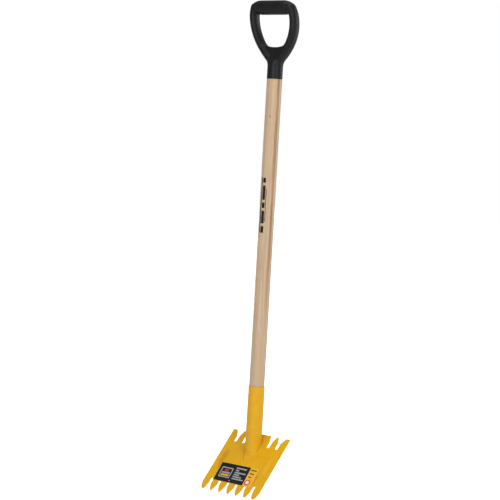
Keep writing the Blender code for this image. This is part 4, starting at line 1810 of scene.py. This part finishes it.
@dataclass
class Label:
    """Printed film on the blade, with plain bars and shapes only."""

    blade: Blade
    left: float
    right: float
    back: float = -52.0 * MM
    front: float = -104.0 * MM
    thickness: float = 0.3 * MM
    corner: float = 1.2 * MM
    edge: float = 0.08 * MM
    spacing: float = 2.4 * MM

    def artwork(self) -> list[tuple[Ink, list[Point2]]]:
        """The printed shapes, from the lowest layer to the topmost.

        Returns:
            The ink and the outline of each.
        """
        p = self.blade.pitch

        def box(ink: Ink, x0: float, x1: float, y0: float, y1: float, corner: float = 0.0) -> tuple:
            """One box given in tooth pitches."""
            return ink, rectangle((x0 * p, y0 * p), (x1 * p, y1 * p), corner)

        def dot(ink: Ink, x: float, y: float, radius: float, chords: int) -> tuple:
            """One round dot given in tooth pitches."""
            return ink, arc((x * p, y * p), radius * p, 0, 360 * chords / (chords + 1), chords)

        shapes = [box(Ink.BLACK, -2.335, 1.15, -4.05, -2.10),
                  box(Ink.GREY, -2.05, -0.72, -3.62, -2.52, 2.2 * MM),
                  box(Ink.BLACK, -1.95, -0.82, -3.52, -2.62, 1.6 * MM),
                  box(Ink.RED, -1.62, -1.16, -2.92, -2.74),
                  box(Ink.GREY, -1.85, -0.92, -3.16, -3.00),
                  box(Ink.ORANGE, -1.85, -0.92, -3.44, -3.24)]
        for y, end in ((-2.40, 0.78), (-2.64, -0.02), (-2.86, 0.86), (-3.08, 0.22), (-3.31, 0.58),
                       (-3.54, 0.92)):
            shapes.append(box(Ink.GREY, -0.42, end, y - 0.075, y + 0.055))
        shapes.append(dot(Ink.GREY, -0.52, -3.84, 0.07, 11))
        for y, end in ((-2.33, 1.92), (-2.68, 1.74), (-3.03, 1.66)):
            shapes.append(box(Ink.BLACK, 1.27, end, y - 0.05, y + 0.05))
        shapes += [dot(Ink.RED, 1.52, -3.63, 0.31, 23), dot(Ink.WHITE, 1.52, -3.63, 0.19, 17)]
        return shapes

    def build(self, inks: dict[Ink, bpy.types.Material]) -> bpy.types.Object:
        """Build and dress the label.

        Args:
            inks: The material of each ink.

        Returns:
            The label.
        """
        outline = rectangle((self.left, self.front), (self.right, self.back), self.corner)
        shapes = self.artwork()
        lift = GAP + self.thickness
        label = rounded_plate("blade_label", outline, self.thickness, self.edge, self.spacing,
                              lambda places: self.blade.height(places) + lift, self.blade.frame,
                              [shape for _, shape in shapes])
        order = list(Ink)
        across, back = recall(label.data, "across"), recall(label.data, "back")
        centres = np.array([(across[list(f.vertices)].mean(), back[list(f.vertices)].mean())
                            for f in label.data.polygons])
        chosen = np.full(len(centres), order.index(Ink.YELLOW))
        for ink, shape in shapes:
            chosen[within(centres, shape)] = order.index(ink)
        dress(label, "label", [inks[ink] for ink in order])
        label.data.polygons.foreach_set("material_index", chosen.astype(np.int32))
        return label


# ---------------------------------------------------------------- studio


@dataclass(frozen=True)
class SoftBox:
    """One soft box: degrees from the front towards +X, place, size across and up, power and tint."""

    name: str
    azimuth: float
    distance: float
    z: float
    size: tuple[float, float]
    watts: float
    tint: Colour = (1.0, 1.0, 1.0)

    def hang(self, aim: Vector) -> None:
        """Hang the box, turned to face a place.

        Args:
            aim: The place.
        """
        light = bpy.data.lights.new(self.name, "AREA")
        light.shape = "RECTANGLE"
        light.size, light.size_y = self.size
        light.energy = self.watts
        light.color = self.tint
        obj = bpy.data.objects.new(self.name, light)
        bpy.context.scene.collection.objects.link(obj)
        angle = math.radians(self.azimuth)
        obj.location = (self.distance * math.sin(angle), -self.distance * math.cos(angle), self.z)
        obj.rotation_euler = (aim - obj.location).to_track_quat("-Z", "Y").to_euler()
        obj.visible_camera = False


@dataclass
class Studio:
    """Pale floor, soft boxes and the camera."""

    floor_z: float
    axis_z: float
    boxes: tuple[SoftBox, ...] = (
        SoftBox("left_box", 14.5, 3.3, 0.75, (0.11, 2.4), 44.0, (0.88, 0.95, 1.0)),
        SoftBox("right_box", 66.0, 3.3, 0.75, (0.70, 2.4), 36.0),
        SoftBox("top_box", 36.0, 1.1, 3.4, (2.4, 2.4), 58.0),
        SoftBox("rim_box", 146.0, 2.6, 0.9, (0.9, 2.0), 22.0),
        SoftBox("back_box", 255.0, 2.8, 0.15, (0.9, 0.9), 11.0),
    )
    aim_z: float = 0.5
    ambient: float = 0.40
    azimuth: float = 0.6725
    distance: float = 3.9022
    height: float = 0.71669
    turn: float = math.radians(0.505)
    tilt: float = math.radians(3.587)
    roll: float = math.radians(3.300)
    lens: float = 119.304
    sensor: float = 36.0
    clip_end: float = 60.0
    floor_size: float = 30.0
    floor_tones: tuple[Colour, Colour] = ((0.80, 0.80, 0.80), (0.78, 0.78, 0.78))
    floor_glow: float = 0.72
    glow_fade: tuple[float, float] = (0.3, 1.6)

    def build_floor(self) -> None:
        """Lay the pale floor."""
        half, z = self.floor_size / 2, self.floor_z
        corners = [(x, y, z) for x, y in rectangle((-half, -half), (half, half))]
        floor = new_object("studio_floor", mesh_of("floor", corners, [(0, 1, 2, 3)]))
        g = Graph("pale_floor")
        tone = g.blend(g.noise(g.place(), 3.0, 2.0, 0.5), *self.floor_tones)
        material = g.finish(tone, 0.9, Specular_IOR_Level=0.1)
        away = g.distance((1.0, 1.0, 0.0), (0.0, 0.0, 0.0))
        glow = g.span(away, *self.glow_fade, self.floor_glow, 1.0, smooth=True)
        seen = g.add("ShaderNodeLightPath").outputs["Is Camera Ray"]
        g.shader.inputs["Emission Color"].default_value = (1.0, 1.0, 1.0, 1.0)
        g.plug(g.times(glow, seen), g.shader.inputs["Emission Strength"])
        floor.data.materials.append(material)

    def build_lights(self) -> None:
        """Hang the soft boxes and set the surroundings, white to the camera and softer to the fork."""
        for box in self.boxes:
            box.hang(Vector((0.0, 0.0, self.aim_z)))
        world = bpy.data.worlds.new("studio")
        bpy.context.scene.world = world
        world.use_nodes = True
        tree = world.node_tree
        lit = tree.nodes["Background"]
        seen = tree.nodes.new("ShaderNodeBackground")
        for background, strength in ((lit, self.ambient), (seen, 1.0)):
            background.inputs["Color"].default_value = (1.0, 1.0, 1.0, 1.0)
            background.inputs["Strength"].default_value = strength
        path = tree.nodes.new("ShaderNodeLightPath")
        mix = tree.nodes.new("ShaderNodeMixShader")
        tree.links.new(path.outputs["Is Camera Ray"], mix.inputs["Fac"])
        tree.links.new(lit.outputs[0], mix.inputs[1])
        tree.links.new(seen.outputs[0], mix.inputs[2])
        tree.links.new(mix.outputs[0], tree.nodes["World Output"].inputs["Surface"])
        bpy.context.scene.view_settings.view_transform = "Standard"
        bpy.context.scene.view_settings.look = "None"

    def build_camera(self) -> None:
        """Set up the camera."""
        angle, level_share = self.azimuth + self.turn, math.cos(self.tilt)
        back = Vector((math.sin(angle) * level_share, -math.cos(angle) * level_share, math.sin(self.tilt)))
        level = Vector((0.0, 0.0, 1.0)).cross(back).normalized()
        upright = back.cross(level)
        right = level * math.cos(self.roll) + upright * math.sin(self.roll)
        up = upright * math.cos(self.roll) - level * math.sin(self.roll)
        data = bpy.data.cameras.new("camera")
        data.lens = self.lens
        data.sensor_width = self.sensor
        data.clip_end = self.clip_end
        camera = bpy.data.objects.new("camera", data)
        bpy.context.scene.collection.objects.link(camera)
        matrix = Matrix.Identity(4)
        for row in range(3):
            matrix[row][0], matrix[row][1], matrix[row][2] = right[row], up[row], back[row]
        matrix.translation = (self.distance * math.sin(self.azimuth),
                              -self.distance * math.cos(self.azimuth), self.height + self.axis_z)
        camera.matrix_world = matrix
        bpy.context.scene.camera = camera

    def build(self) -> None:
        """Build the floor, the lights and the camera."""
        self.build_floor()
        self.build_lights()
        self.build_camera()
        LOG.info("studio: floor at %.4f", self.floor_z)


def main() -> None:
    """Build every piece round the frame."""
    logging.basicConfig(level=logging.INFO, format="%(name)s %(message)s")
    _, socket_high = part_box("socket")
    shaft_low, shaft_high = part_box("shaft")
    grip_low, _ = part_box("grip")
    label_low, label_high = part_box("label")
    coat = PowderCoat().material()
    film = FilmPrint()
    inks = {ink: film.material(ink) for ink in Ink}
    blade = Blade()
    blade.build(coat)
    socket = Socket(blade, radius=socket_high.x, top_z=socket_high.z)
    socket.build_tube(coat)
    socket.build_bead(coat)
    grip = Grip(base_z=grip_low.z, bore_depth=shaft_high.z - grip_low.z + GAP)
    shaft = Shaft(radius=shaft_high.x, foot_z=shaft_low.z, socket_top=socket_high.z, grip_base=grip_low.z,
                  head_z=shaft_high.z, foot_radius=socket.radius - socket.wall - GAP,
                  head_radius=grip.sleeve_radius - grip.sleeve_wall - GAP)
    shaft.build(AshWood().material())
    shaft.build_print(inks[Ink.BLACK])
    grip.build(MouldedPlastic().material())
    zinc = ZincPlate().material()
    for name, node, radius in (("socket_fixing", "socket_screw", socket.radius),
                               ("grip_fixing", "grip_screw", grip.sleeve_radius)):
        low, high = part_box(node)
        Screw(name, node, (low.z + high.z) / 2, radius + GAP).build(zinc)
    Label(blade, left=label_low.x, right=label_high.x).build(inks)
    lowest = min(CAD_BOX[0][2], CAD_BOX[1][2])
    Studio(floor_z=lowest - FLOOR_CLEARANCE, axis_z=blade.axis_z).build()


if __name__ == "__main__":
    main()
